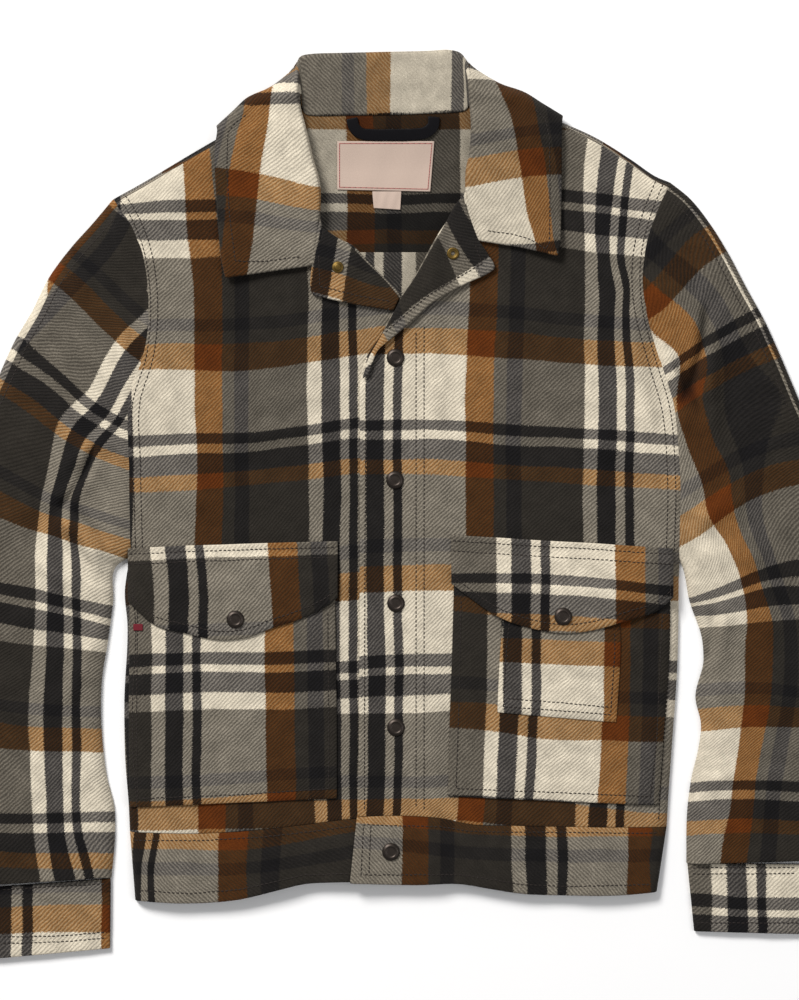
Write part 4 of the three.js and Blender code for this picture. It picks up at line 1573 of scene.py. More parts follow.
# ---- sleeves ----
SLEEVE_FOLDS_R = table("""x0 y0 x1 y1 bow w h
96 444 62 506 4 4 -3.2
76 512 108 552 2 5 -2.8
66 524 104 572 2 6 2.4
60 520 112 566 4 9 5.0
52 500 100 470 -4 8 2.6
64 470 118 440 6 10 3.0
30 560 90 600 6 11 2.6
100 640 60 700 4 9 1.6
20 420 90 500 -8 13 1.8
110 300 132 420 6 10 1.6
106 760 70 790 2 8 1.4
-20 600 60 640 6 14 1.6
-60 500 0 560 4 14 1.4
-50 700 40 720 4 14 1.2""")
SLEEVE_FOLDS_L = table("""x0 y0 x1 y1 bow w h
704 310 697 366 2 4 -3.8
697 366 675 404 3 5 -4.4
713 326 706 398 3 8 3.2
673 364 699 411 2 5 -2.4
662 350 684 430 -5 7 3.4
704 360 712 430 4 8 3.0
682 545 740 500 6 9 3.6
690 560 760 560 6 10 2.6
714 610 704 660 2 6 -2.6
722 604 716 664 2 7 2.8
700 700 760 690 4 9 2.0
704 640 770 600 4 12 1.8
690 800 740 770 3 9 1.6
700 250 740 330 -6 10 1.3
760 450 820 520 6 14 1.6
800 600 860 640 6 14 1.6
790 740 850 760 6 14 1.4""")


def sleeve(side, arm, out, inn, folds, weave, slant, seed):
    """The front sleeve from the seam near the outer edge to the inner edge, and the back sleeve that rolls up to it."""
    arm_y = lambda q: mix(arm["y"][0], 556.0, q)
    armhole = lambda q: (curve(arm["y"], arm["x"], arm_y(q)), arm_y(q))
    outer, inner = along(out), along(inn)
    c0, c1 = (out["x"][-1], out["y"][-1]), (inn["x"][-1], inn["y"][-1])
    sgn = 1 if side == "right" else -1

    def area_at(t, s):
        res = []
        lo, hi = armhole(t), (mix(c0[0], c1[0], t), mix(c0[1], c1[1], t))
        o, i = outer(s), inner(s)
        for k in (0, 1):
            corner = [(arm["x"][0], arm["y"][0])[k], (arm["x"][-1], 556.0)[k], c0[k], c1[k]]
            res.append((1 - s) * lo[k] + s * hi[k] + (1 - t) * o[k] + t * i[k]
                       - ((1 - s) * (1 - t) * corner[0] + (1 - s) * t * corner[1] + s * (1 - t) * corner[2] + s * t * corner[3]))
        return res

    def place(s, t, d):
        px, py = area_at(t, s)
        e = 0.004
        q0, q1 = area_at(np.maximum(t - e, 0), s), area_at(np.minimum(t + e, 1), s)
        T = unit(np.stack([q1[0] - q0[0], q1[1] - q0[1]], -1))
        edge = outer if np.mean(t) < 0.5 else inner
        e0, e1 = edge(np.clip(s - 0.01, 0, 1)), edge(np.clip(s + 0.01, 0, 1))
        E = unit(np.stack([e1[0] - e0[0], e1[1] - e0[1]], -1))
        o, i = outer(s), inner(s)
        sign = np.sign(E[..., 1] * (i[0] - o[0]) - E[..., 0] * (i[1] - o[1]))
        Nn = np.stack([sign * E[..., 1], -sign * E[..., 0]], -1)
        w = smooth(s / 0.05)[..., None]
        D = mix(T, Nn, w)
        return px + D[..., 0] * d / SQUARE, py + D[..., 1] * d / SQUARE

    R = int(640 / STEP / 1.15)
    s = mix(0.0009, 0.9992, np.linspace(0, 1, R) ** 1.0)
    width = 190.0
    n_in = int(width / STEP / 1.1)

    def line(s_, t0, d):
        return place(s_, np.full(s_.shape, t0), np.full(s_.shape, d))

    # front sleeve
    tt, sh, xs, ys = [], [], [], []
    a0 = line(s, 0.0, SEAM_BACK + 0.15)
    b0 = line(s, 1.0, -TURN_DOWN["d"][-1])
    xm, ym = [], []
    for k in np.linspace(0, 1, n_in + 1):
        # between the seam and where the turn-down starts, along the patch
        px, py = area_at(np.full(s.shape, k), s)
        ax, ay = area_at(np.zeros(s.shape), s)
        bx, by = area_at(np.ones(s.shape), s)
        px = px + (a0[0] - ax) * (1 - k) + (b0[0] - bx) * k
        py = py + (a0[1] - ay) * (1 - k) + (b0[1] - by) * k
        xm.append(px)
        ym.append(py)
        sh.append(np.ones(R))
    for k in range(len(TURN_DOWN["d"]) - 2, -1, -1):
        px, py = line(s, 1.0, -TURN_DOWN["d"][k])
        xm.append(px)
        ym.append(py)
        sh.append(np.full(R, TURN_DOWN["share"][k]))
    x, y, share = np.stack(xm, 1), np.stack(ym, 1), np.stack(sh, 1)

    def sleeve_z(x, y):
        low = lift(x, y) + CLOTH * 1.5 + GAP
        inside = smooth(distance(OUTLINE, x, y) / 22.0)
        near_arm = smooth(distance([arm], x, y) / 16.0)
        bumps = (1.35 * creases(folds, x, y) + uneven(x, y, seed, 1.1, 80, 30)) * near_arm + body_relief(x, y) * (1 - near_arm)
        return low + np.maximum(loft(x, y) + bumps * inside, 0.05)

    base = lift(x, y)
    seam = 0.9 * np.exp(-(distance([arm], x, y) / 2.2) ** 2)
    z = base + 0.02 + (sleeve_z(x, y) - base - seam) * share
    k = np.arange(x.shape[1])[None, :] * STEP
    z = z - 0.6 * np.exp(-(k / 2.4) ** 2)
    X, Y = mm(x, y)
    W = weave(x, y)
    # painted shade: the colour darkens in the troughs of the creases
    W[..., 2] += 0.03 * np.minimum(creases(folds, x, y), 0.0)
    shell(f"sleeve_{side}_front_cloth", np.stack([X, Y, z], -1), W, CLOTH, [f"sleeve_{side}_front"], WOOL_MATS[slant])

    # back sleeve: flat on the surface, then up round the outer edge to the seam on top
    inset = 4.2 + 5 * (1 - smooth(s / 0.16))
    xm, ym, sh, arc = [], [], [], []
    a0 = place(s, np.ones(s.shape), -inset)
    b0 = line(s, 0.0, ROLL_UP["d"][0])
    for k in np.linspace(1, 0, n_in + 1):
        px, py = area_at(np.full(s.shape, k), s)
        bx, by = area_at(np.zeros(s.shape), s)
        ax, ay = area_at(np.ones(s.shape), s)
        px = px + (a0[0] - ax) * k + (b0[0] - bx) * (1 - k)
        py = py + (a0[1] - ay) * k + (b0[1] - by) * (1 - k)
        xm.append(px)
        ym.append(py)
        sh.append(np.zeros(R))
    for j in range(1, len(ROLL_UP["d"])):
        px, py = line(s, 0.0, ROLL_UP["d"][j])
        xm.append(px)
        ym.append(py)
        sh.append(np.full(R, ROLL_UP["share"][j]))
    x, y, share = np.stack(xm, 1), np.stack(ym, 1), np.stack(sh, 1)
    z = mix(CLOTH / 2 + 0.02, sleeve_z(x, y), share)
    z[:, -1] -= 0.5
    X, Y = mm(x, y)
    P = np.stack([X, Y, z], -1)
    # the plaid of the back runs on from the seam, a stripe further on
    W = weave(x, y)
    seam_u, seam_v = W[:, -1:, 0], W[:, -1:, 1]
    step = np.concatenate([np.linalg.norm(np.diff(P[:, ::-1], axis=1), axis=-1)], 1)
    arc = np.concatenate([np.zeros((R, 1)), np.cumsum(step, axis=1)], axis=1)[:, ::-1] / SQUARE
    start = BACK_START[side]
    W[..., 0] = curve(start["y"], start["u"], y[:, -1:]) - arc
    W[..., 1] = seam_v + 0 * arc
    shell(f"sleeve_{side}_back_cloth", P, W, CLOTH, [f"sleeve_{side}_back"], WOOL_MATS[slant])


# the warp thread that the back sleeve's roll-up starts with, down the seam
BACK_START = {"right": table("""y u
180 92
250 86
275 76
290 67
900 67"""), "left": table("""y u
180 184.5
900 184.5""")}
sleeve("right", ARMHOLE_R, SLEEVE_OUT_R, SLEEVE_IN_R, SLEEVE_FOLDS_R, W_SLEEVE_R, "/", 11)
sleeve("left", ARMHOLE_L, SLEEVE_OUT_L, SLEEVE_IN_L, SLEEVE_FOLDS_L, W_SLEEVE_L, "/", 12)


# ---- cuffs: a closed band pressed flat ----
CUFFS = table("""side xa ya xb yb ha hb
0 -41 890.6 110.6 879.2 70 68
1 687.6 864.2 841 865 66 69""")
CUFF_TILT = [((-0.01, 1), (-0.008, 1)), ((0.1, 1), (0.03, 1))]


def cuff(i, name, weave):
    xa, ya, xb, yb, ha, hb = (CUFFS[k][i] for k in ("xa", "ya", "xb", "yb", "ha", "hb"))
    ta, tb = CUFF_TILT[i][0][0], CUFF_TILT[i][1][0]
    ln = math.hypot(xb - xa, yb - ya) * SQUARE
    z_low, z_top = CLOTH / 2, CLOTH / 2 + 3.1
    n = int(ln / STEP)
    d, z = [], []
    for k in np.linspace(0, 1, n):
        d.append(mix(2.6, ln - 2.6, k))
        z.append(z_top)
    for a in np.linspace(90, -90, 9)[1:-1]:
        d.append(ln - 2.6 + 1.6 * math.cos(math.radians(a)))
        z.append((z_top + z_low) / 2 + 1.55 * math.sin(math.radians(a)))
    for k in np.linspace(0, 1, n):
        d.append(mix(ln - 2.6, 2.6, k))
        z.append(z_low)
    for a in np.linspace(-90, -270, 9)[1:-1]:
        d.append(2.6 + 1.6 * math.cos(math.radians(a)))
        z.append((z_top + z_low) / 2 + 1.55 * math.sin(math.radians(a)))
    d, z = np.array(d + d[:1]), np.array(z + z[:1])
    v = np.linspace(0, 1, 24)
    kk = d / ln
    h = mix(ha, hb, kk)[None, :] * v[:, None] + 0.4
    x = mix(xa, xb, kk)[None, :] + mix(ta, tb, kk)[None, :] * h
    y = mix(ya, yb, kk)[None, :] + h
    up = (z - z_low) / (z_top - z_low)
    zz = z[None, :] + up[None, :] * (1.1 * np.sin(np.pi * np.clip(kk, 0, 1))[None, :] * 1.0 + uneven(x, y, 21 + i, 0.35, 60, 25))
    zz = zz - up[None, :] * 0.5 * np.exp(-((v[:, None] - 0.82) / 0.05) ** 2)
    X, Y = mm(x, y)
    P = np.stack([X, Y, zz], -1)
    W = weave(x, y)
    below = (np.arange(len(d)) >= n + 3) & (np.arange(len(d)) < 2 * n + 10)
    W[:, below, 0] = W[:, below, 0] + 95
    shell(name + "_cloth", P, W, CLOTH - 0.1, [name], WOOL, wrap=True)


cuff(0, "cuff_right", W_CUFF_R)
cuff(1, "cuff_left", W_CUFF_L)


# ---- waistband ----
def band(name, seam, hem, wall, z_of, weave, bottom=False):
    xa, xb, ha, hb = seam["x"][0], seam["x"][-1], hem["x"][0], hem["x"][-1]
    span = (xb - xa) * SQUARE
    n = int(span / STEP)
    t = TURN_DOWN
    if wall == "low":
        tt = np.concatenate([t["d"] / span, np.linspace(t["d"][-1] / span, 1, n)[1:]])
        share = np.concatenate([t["share"], np.ones(n - 1)])
    elif wall == "high":
        tt = np.concatenate([np.linspace(0, 1 - t["d"][-1] / span, n)[:-1], 1 - t["d"][::-1] / span])
        share = np.concatenate([np.ones(n - 1), t["share"][::-1]])
    else:
        inset = UNDER_INSET / span
        tt, share = np.linspace(inset, 1 - inset, n), np.ones(n)
    v = np.linspace(0, 1, 25)
    xs, xh = mix(xa, xb, tt), mix(ha, hb, tt)
    ys, yh = curve(seam["x"], seam["y"], xs) + 0.2, curve(hem["x"], hem["y"], xh)
    x = mix(xs[None, :], xh[None, :], v[:, None])
    y = mix(ys[None, :], yh[None, :], v[:, None])
    if bottom:
        z = np.full(x.shape, CLOTH / 2)
    else:
        z = 0.02 + (z_of(x, np.minimum(y, 826)) - 0.02) * share[None, :]
        z = z + (0.5 * np.sin(np.pi * np.clip(v, 0, 1))[:, None] + uneven(x, y, 31, 0.3, 70, 26) - 0.7 * np.exp(-((v[:, None]) / 0.045) ** 2)) * share[None, :] ** 3
    X, Y = mm(x, y)
    shell(name + "_cloth", np.stack([X, Y, z], -1), weave(x, y), CLOTH, [name], WOOL)


BACK_SEAM = {"x": np.array([129.6, 667.0]), "y": np.array([831.5, 826.5])}
BACK_HEM = table("""x y
135 897
200 898.5
266 888
331 878.5
396 879.5
462 880.5
527 888.5
592 890.5
657 888.5""")
band("waistband_right", SEAM_R, HEM_R, "low", front_z, W_BAND_R)
band("waistband_left", SEAM_L, HEM_L, "high", lap_z, W_BAND_L)
band("waistband_back", BACK_SEAM, BACK_HEM, "", None, W_BAND_R, True)


# ---- pockets and flaps ----
def patch_pocket(name, rows, layers, weave, slant, bulge):
    left, right = along(rows, "xl", "yl"), along(rows, "xr", "yr")
    w, l = (rows["xr"][0] - rows["xl"][0]) * SQUARE, (rows["yl"][-1] - rows["yl"][0]) * SQUARE
    s, t = np.linspace(0, 1, int(l / STEP)), np.linspace(0, 1, int(w / STEP))
    (ax, ay), (bx, by) = left(s), right(s)
    x, y = mix(ax[:, None], bx[:, None], t), mix(ay[:, None], by[:, None], t)
    edge = np.minimum(np.minimum(t, 1 - t)[None, :] * w, (1 - s)[:, None] * l)
    z = on_front(x, y) + LAYER * layers - 0.45 * np.exp(-(edge / 1.6) ** 2) + bulge * (1 - np.exp(-edge / 24.0)) + uneven(x, y, 41 + layers, 0.25, 60, 24)
    X, Y = mm(x, y)
    shell(name + "_cloth", np.stack([X, Y, z], -1), weave(x, y), CLOTH, [name], WOOL_MATS[slant])


def flap(name, rows, over_small, weave, slant, bulge):
    x0, x1 = rows["x"][0], rows["x"][-1]
    n = int((x1 - x0) * SQUARE / STEP)
    x = np.linspace(x0, x1, n)
    top, low = curve(rows["x"], rows["top"], x), curve(rows["x"], rows["bottom"], x)
    s = np.linspace(0, 1, 34)
    y = mix(top[None, :], low[None, :], s[:, None])
    x = np.broadcast_to(x, y.shape)
    over = smooth((y - 550) / 12)
    if over_small:
        over = over + smooth((y - 576) / 14) * smooth((x - 478) / 18) * smooth((645 - x) / 18)
    edge = np.minimum(np.minimum(x - x0, x1 - x), (low[None, :] - y)) * SQUARE
    z = on_front(x, y) + LAYER * (1 + over) + bulge * smooth((y - 560) / 30) * (1 - 0.6 * np.exp(-edge / 8.0)) - 0.35 * np.exp(-(edge / 1.6) ** 2)
    X, Y = mm(x, y)
    shell(name + "_cloth", np.stack([X, Y, z], -1), weave(x, y), CLOTH, [name], WOOL_MATS[slant])


patch_pocket("pocket_right", POCKET_R, 1, W_POCKET_R, "/", 0.9)
patch_pocket("pocket_left", POCKET_L, 1, W_POCKET_L, "/", 0.9)
patch_pocket("pocket_small", POCKET_SMALL, 2, W_POCKET_S, "/", 1.2)
flap("flap_right", FLAP_R, False, W_FLAP_R, "/", 1.6)
flap("flap_left", FLAP_L, True, W_FLAP_L, "/", 1.6)


# ---- lapels ----
def lapel(name, rows, z_of, weave, slant, rise):
    pos, (rx, ry, ex, ey) = rows_of(rows, ("rx", "ry", "ex", "ey"), 2.0)
    t = np.linspace(0, 1, 36)
    x, y = mix(rx[:, None], ex[:, None], t), mix(ry[:, None], ey[:, None], t)
    z = z_of(x, y) + CLOTH / 2 + GAP + SLACK * 2 + LAPEL / 2 + rise * np.sin(np.pi * np.clip(t, 0, 1) ** 0.8)[None, :] * smooth(pos / (len(rows["rx"]) - 1) * 2.2)[:, None]
    X, Y = mm(x, y)
    shell(name + "_cloth", np.stack([X, Y, z], -1), weave(x, y), LAPEL - 0.2, [name], WOOL_MATS[slant])


lapel("lapel_left", LAPEL_L, lap_z, W_LAPEL_L, "/", 1.0)
lapel("lapel_right", LAPEL_R, front_z, W_LAPEL_R, "\\", 0.6)


# ---- collar ----
def collar():
    PLY, BETWEEN = 1.35, 1.1
    rows = {k: np.concatenate([COLLAR_R[k][::-1], COLLAR_L[k][1:]]) for k in COLLAR_R}
    n = len(rows["nx"])

    def over(x, y):
        return float(on_front(np.array([x]), np.array([y]))[0]) + CLOTH / 2 + GAP + PLY + GAP / 2 + SLACK * 2

    UNDER, STAND = PLY + BETWEEN / 2 + 0.1, NECK_LIFT + PLY + BETWEEN / 2 + 0.1
    sections, us, kind = [], [], []
    for i in range(n):
        r = {k: rows[k][i] for k in rows}
        roll = r["roll"] ** 4
        up = (1 + math.sin(math.radians(r["turn"]))) / 2
        ridge = math.cos(math.radians(r["turn"]))
        flat_n = over(r["nx"], r["ny"])
        lift_n, lift_r = (float(lift(np.array([r[a]]), np.array([r[b]]))[0]) for a, b in (("nx", "ny"), ("rx", "ry")))
        fold_n = CLOTH + lift_n + PLY + BETWEEN / 2 + 0.5
        fold_r = CLOTH + lift_r + PLY + BETWEEN / 2 + 0.5
        zn = mix(STAND, mix(flat_n, fold_n, roll), up)
        za = mix(STAND + 0.5, mix(flat_n, fold_r, roll), up) + 1.2 * ridge
        fall_up = mix(over(r["rx"], r["ry"]), max(fold_r + 5.4, over(r["cx"], r["cy"]) + 0.6), roll)
        zb = mix(UNDER + 0.1, fall_up, up) + 3.0 * ridge
        rd = np.array([r["rx"] - r["nx"], r["ry"] - r["ny"]])
        ln = np.linalg.norm(rd)
        rd = rd / ln
        fd = np.array([r["fx"] - r["rx"], r["fy"] - r["ry"]])
        fd = fd / np.linalg.norm(fd)
        step = min(ln * 0.5, 4.4)
        out = 2.0 if roll < 0.4 else 4.4
        a = np.array([r["rx"] - rd[0] * step, r["ry"] - rd[1] * step, za])
        b = np.array([r["rx"] + fd[0] * out, r["ry"] + fd[1] * out, zb])
        zr = (za + zb) / 2 + 1.4 * ridge
        p_r = np.array([r["rx"], r["ry"], zr])
        a2 = np.array([mix(a[0], r["rx"], 0.75), mix(a[1], r["ry"], 0.75), mix(za, zr, 0.4)])
        b2 = np.array([mix(b[0], r["rx"], 0.75), mix(b[1], r["ry"], 0.75), mix(zb, zr, 0.4)])
        zc, zf = mix(UNDER, over(r["cx"], r["cy"]), up), mix(UNDER, over(r["fx"], r["fy"]), up)
        c, f = np.array([r["cx"], r["cy"], zc]), np.array([r["fx"], r["fy"], zf])
        cb, cf = mix(b, c, 0.6 if roll else 0.5), mix(c, f, 0.5)
        if up > 0.95:
            cb[2] = max(cb[2], over(cb[0], cb[1]))
            cf[2] = max(cf[2], over(cf[0], cf[1]))
        nn = np.array([r["nx"], r["ny"], zn])
        sections.append([nn, mix(nn, a, 0.5), a, a2, p_r, b2, b, cb, c, cf, f])
        back_row = up < 0.05
        u_r = 60.0 if back_row else max(117.0 - np.hypot(r["fx"] - r["rx"], r["fy"] - r["ry"]), 2.0)
        kind.append(u_r)
    S = np.array(sections)                                     # rows, points, xyz (squares, squares, mm)
    m = S.shape[1]
    # across: more points where it folds
    q_across = np.concatenate([np.linspace(0, 2, 14)[:-1], np.linspace(2, 6, 17)[:-1], np.linspace(6, 10, 42)])
    A = np.stack([np.stack([curve(np.arange(m), S[i, :, k], q_across) for k in range(3)], -1) for i in range(n)])
    # along: by the length of the middle of the fall
    mid = S[:, 8]
    s = np.concatenate([[0], np.cumsum(np.hypot(np.diff(mid[:, 0]), np.diff(mid[:, 1])) + 4)])
    q = np.linspace(0, s[-1], 300)
    G = np.stack([np.stack([curve(s, A[:, j, k], q) for k in range(3)], -1) for j in range(A.shape[1])], 1)
    x, y, z = G[..., 0], G[..., 1], G[..., 2]
    u_r = curve(s, np.array(kind), q)
    # cloth coordinates: u from the neck seam to the free edge, v along the collar; the wings' plaid is on the straight grain
    dist = np.concatenate([np.zeros((len(q), 1)), np.cumsum(np.hypot(np.diff(x, axis=1), np.diff(y, axis=1)), axis=1)], 1)
    j_roll = int(np.argmin(np.abs(q_across - 4)))
    stand, fall = dist[:, j_roll:j_roll + 1], dist[:, -1:] - dist[:, j_roll:j_roll + 1]
    row_pos = np.interp(q, s, np.arange(n))
    to_back = smooth((row_pos - 8.3) / 2.5)[:, None]
    to_right = smooth((row_pos - 17.0) / 2.7)[:, None]
    xr, yr = x[:, j_roll:j_roll + 1], y[:, j_roll:j_roll + 1]
    u_roll = mix(mix(WING_R_U(xr, yr), 60.0, to_back), WING_L_U(xr, yr), to_right)
    u_fall = mix(mix(WING_R_U(x, y), u_roll + dist - stand, to_back), WING_L_U(x, y), to_right)
    u = np.where(np.arange(x.shape[1])[None, :] <= j_roll, u_roll - (stand - dist), u_fall)
    v_back = np.interp(x, [300, 367, 391, 452, 463, 480], [141, 211, 237, 300, 311, 328])
    v = mix(mix(WING_R_V(x, y), v_back, to_back), WING_L_V(x, y), to_right)
    wing = smooth((np.abs(row_pos - 14) - 6.5) / 1.5)[:, None]
    fall_share = np.clip((dist - stand) / fall, 0, 1)
    # the wings' edges lift unevenly, and the tips curl
    tip_l, tip_r = np.hypot(x - 225, y - 275), np.hypot(x - 556, y - 254)
    z = z + wing * (1.2 * smooth((fall_share - 0.5) / 0.5) + 3.2 * np.exp(-(tip_r / 26) ** 2) + 1.6 * np.exp(-(tip_l / 26) ** 2)
                    + 0.9 * np.sin(np.pi * fall_share) + uneven(x, y, 51, 0.4, 70, 28) * fall_share)
    back = to_back * (1 - to_right)
    z = z + creases(COLLAR_FOLDS, x, y) * back * smooth(fall_share / 0.3)
    X, Y = mm(x, y)
    # painted shade: the colour is darkened over the back of the collar, and a little over the wing at the COLLAR_L end
    W = np.stack([u, v, (-0.04 * back - 0.02 * to_right) * np.ones(u.shape)], -1)
    return shell("collar_cloth", np.stack([X, Y, z], -1), W, 2 * PLY + 0.5, ["top_collar", "under_collar"], WOOL)


COLLAR_FOLDS = table("""x0 y0 x1 y1 bow w h
424 58 430 112 2 4 0.9
441 56 437 112 -2 3.5 1.0
452 60 448 112 1 3 -0.7
330 62 322 108 2 5 0.6""")
collar()


# ---- hanger loop, labels and tab ----
def tape():
    path = table("""x y
352 119
354 127
361 133.5
372 135
393 135
414 134.5
426 132.5
433 126
434 117.5""")
    f = along(path)
    s = np.linspace(0, 1, 90)
    x, y = f(s)
    x1, y1 = f(np.clip(s + 0.01, 0, 1))
    x0, y0 = f(np.clip(s - 0.01, 0, 1))
    T = unit(np.stack([x1 - x0, y1 - y0], -1))
    k = np.linspace(-1, 1, 11)
    X = x[:, None] - T[:, 1:2] * k * 5.2
    Y = y[:, None] + T[:, 0:1] * k * 5.2
    z = back_z(X, Y) + CLOTH / 2 + GAP + SLACK + 0.6 + 0.5 * np.sin(np.pi * s)[:, None] + 0.12 * (1 - k * k)
    gx, gy = mm(X, Y)
    P = np.stack([gx, gy, z], -1)
    shell("hanger_loop_tape", P, np.stack([X, Y, z * 0], -1), 1.1, ["hanger_loop"], SATIN)


def label(name, a, b, c, d, z0):
    s, t = np.meshgrid(np.linspace(0, 1, 26), np.linspace(0, 1, 48), indexing="ij")
    x = mix(mix(a[0], b[0], t), mix(c[0], d[0], t), s)
    y = mix(mix(a[1], b[1], t), mix(c[1], d[1], t), s)
    z = back_z(x, y) + CLOTH / 2 + z0 + 0.4 + 0.25 * np.sin(np.pi * s) * np.sin(np.pi * t) + 0.12 * np.sin(t * 17 + s * 3)
    gx, gy = mm(x, y)
    shell(name + "_cloth", np.stack([gx, gy, z], -1), np.stack([x, y, z * 0], -1), 0.7, [name], LABEL_CLOTH)


tape()
label("label_main", (337.5, 141.5), (434, 141.5), (337.5, 189), (430, 191), 0.6)
label("label_size", (372.6, 191.5), (401, 191.5), (374, 207.5), (400, 209.2), 0.6)


def frame_line(name, a, b, c, d, z0, inset, width):
    """A plain woven line round the label, close to its edge."""
    corners = np.array([a, b, d, c], float)
    mid = corners.mean(0)
    ring = []
    for extra in (0.0, width):
        for p in corners:
            ring.append(p + np.sign(mid - p) * (inset + extra))
    ring = np.array(ring)
    verts, quads = [], []
    n = 16
    for k in range(4):
        o0, o1, i0, i1 = ring[k], ring[(k + 1) % 4], ring[4 + k], ring[4 + (k + 1) % 4]
        for j in range(n):
            base = len(verts)
            for q in (j / n, (j + 1) / n):
                for p0, p1 in ((o0, o1), (i0, i1)):
                    p = mix(p0, p1, q)
                    gx, gy = mm(p[0], p[1])
                    hit = TREES["label_main_cloth"].ray_cast(Vector((float(gx), float(gy), 60)), Vector((0, 0, -1)))
                    top = hit[0].z if hit[0] else 9.0
                    verts.append((float(gx), float(gy), top + 0.06))
                    verts.append((float(gx), float(gy), top - 0.2))
            a0, a1, b0, b1, c0, c1, d0, d1 = range(base, base + 8)      # outer/inner, top/low, at both ends
            quads += [(a0, b0, d0, c0), (a1, c1, d1, b1), (a0, c0, c1, a1), (b0, b1, d1, d0), (a0, a1, b1, b0), (c0, d0, d1, c1)]
    make_object(name, np.array(verts), quads, None, LABEL_LINE)


frame_line("label_main_line", (337.5, 141.5), (434, 141.5), (337.5, 189), (430, 191), 0.6, 1.6, 0.9)


def tab():
    s, t = np.meshgrid(np.linspace(0, 1, 8), np.linspace(0, 1, 12), indexing="ij")
    x, y = mix(134, 143, t), mix(624, 630, s)
    z = front_z(x, y) + LAYER + CLOTH / 2 + 0.8 + 0.3 * t
    gx, gy = mm(x, y)
    shell("tab_right_cloth", np.stack([gx, gy, z], -1), np.stack([x, y, z * 0], -1), 0.6, ["tab_right"], TAB)


tab()


# ---- snaps ----
def lathe(name, profile, x, y, z, node, material, seg=56):
    X, Y = mm(x, y)
    prof = np.array(profile, float)
    closed_axis = prof[0, 0] < 1e-6
    ang = np.linspace(0, 2 * math.pi, seg, endpoint=False)
    ring = prof[1:-1] if closed_axis else prof
    verts = [(X + r * math.cos(a), Y + r * math.sin(a), z + h) for r, h in ring for a in ang]
    quads, tris = [], []
    k = len(ring)
    for i in range(k - 1 if closed_axis else k):
        for j in range(seg):
            a, b = i * seg + j, i * seg + (j + 1) % seg
            i2 = (i + 1) % k
            c, d = i2 * seg + (j + 1) % seg, i2 * seg + j
            quads.append((a, b, c, d))
    if closed_axis:
        verts.append((X, Y, z + prof[0, 1]))
        verts.append((X, Y, z + prof[-1, 1]))
        lo, hi = len(verts) - 2, len(verts) - 1
        for j in range(seg):
            tris.append((lo, (j + 1) % seg, j))
            tris.append((hi, (k - 1) * seg + j, (k - 1) * seg + (j + 1) % seg))
    o = make_object(name, np.array(verts), quads, None, material, tris=tris)
    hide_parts(node)
    return o


SNAPS = table("""x y layers
395.5 358 0
395 480 0
396 603 0
396 727 0
391 851 0
236 619 2
562.5 616 3""")
NAMES = ["snap_front_1", "snap_front_2", "snap_front_3", "snap_front_4", "snap_waistband", "snap_flap_right", "snap_flap_left"]
CAP_PROFILE = [(0, 0), (6.9, 0), (7.35, 0.15), (7.6, 0.5), (7.55, 0.95), (7.2, 1.35), (6.6, 1.75), (5.9, 2.2), (5.3, 2.45), (4.9, 2.5),
               (4.5, 2.4), (4.2, 2.15), (3.9, 2.0), (2.6, 2.08), (1.2, 2.14), (0, 2.16)]
for i, node in enumerate(NAMES):
    x, y = SNAPS["x"][i], SNAPS["y"][i]
    lo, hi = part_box(node)
    tree = [TREES[k] for k in TREES if any(w in k for w in ("front_left", "waistband_left", "flap"))]
    gx, gy = mm(x, y)
    tops = [hit[0].z for t in tree for hit in [t.ray_cast(Vector((float(gx), float(gy), 60)), Vector((0, 0, -1)))] if hit[0]]
    z = max(tops) - 0.25
    lathe(node + "_cap", CAP_PROFILE, x, y, z, node, CAP)
SOCKET = [(1.7, 0), (5.0, 0), (5.3, 0.3), (5.25, 0.8), (4.8, 1.25), (4.1, 1.45), (3.5, 1.35), (3.0, 1.0), (2.4, 0.95), (1.9, 0.9), (1.7, 0.6)]
STUD = [(0, 0), (4.7, 0), (5.0, 0.25), (4.9, 0.6), (4.4, 0.85), (3.2, 0.9), (2.9, 1.2), (2.6, 1.55), (1.8, 1.7), (0, 1.72)]
for node, prof, x, y, piece in (("snap_socket_lapel", SOCKET, 452.8, 254.3, "lapel_left_cloth"), ("snap_stud_lapel", STUD, 338.0, 268.0, "lapel_right_cloth")):
    gx, gy = mm(x, y)
    hit = TREES[piece].ray_cast(Vector((float(gx), float(gy), 60)), Vector((0, 0, -1)))
    lathe(node + "_ring", prof, x, y, (hit[0].z if hit[0] else 12.0) - 0.2, node, BRASS)


# ---- stitching: short thread stitches sunk in the cloth ----
STITCH_V, STITCH_Q = [], []


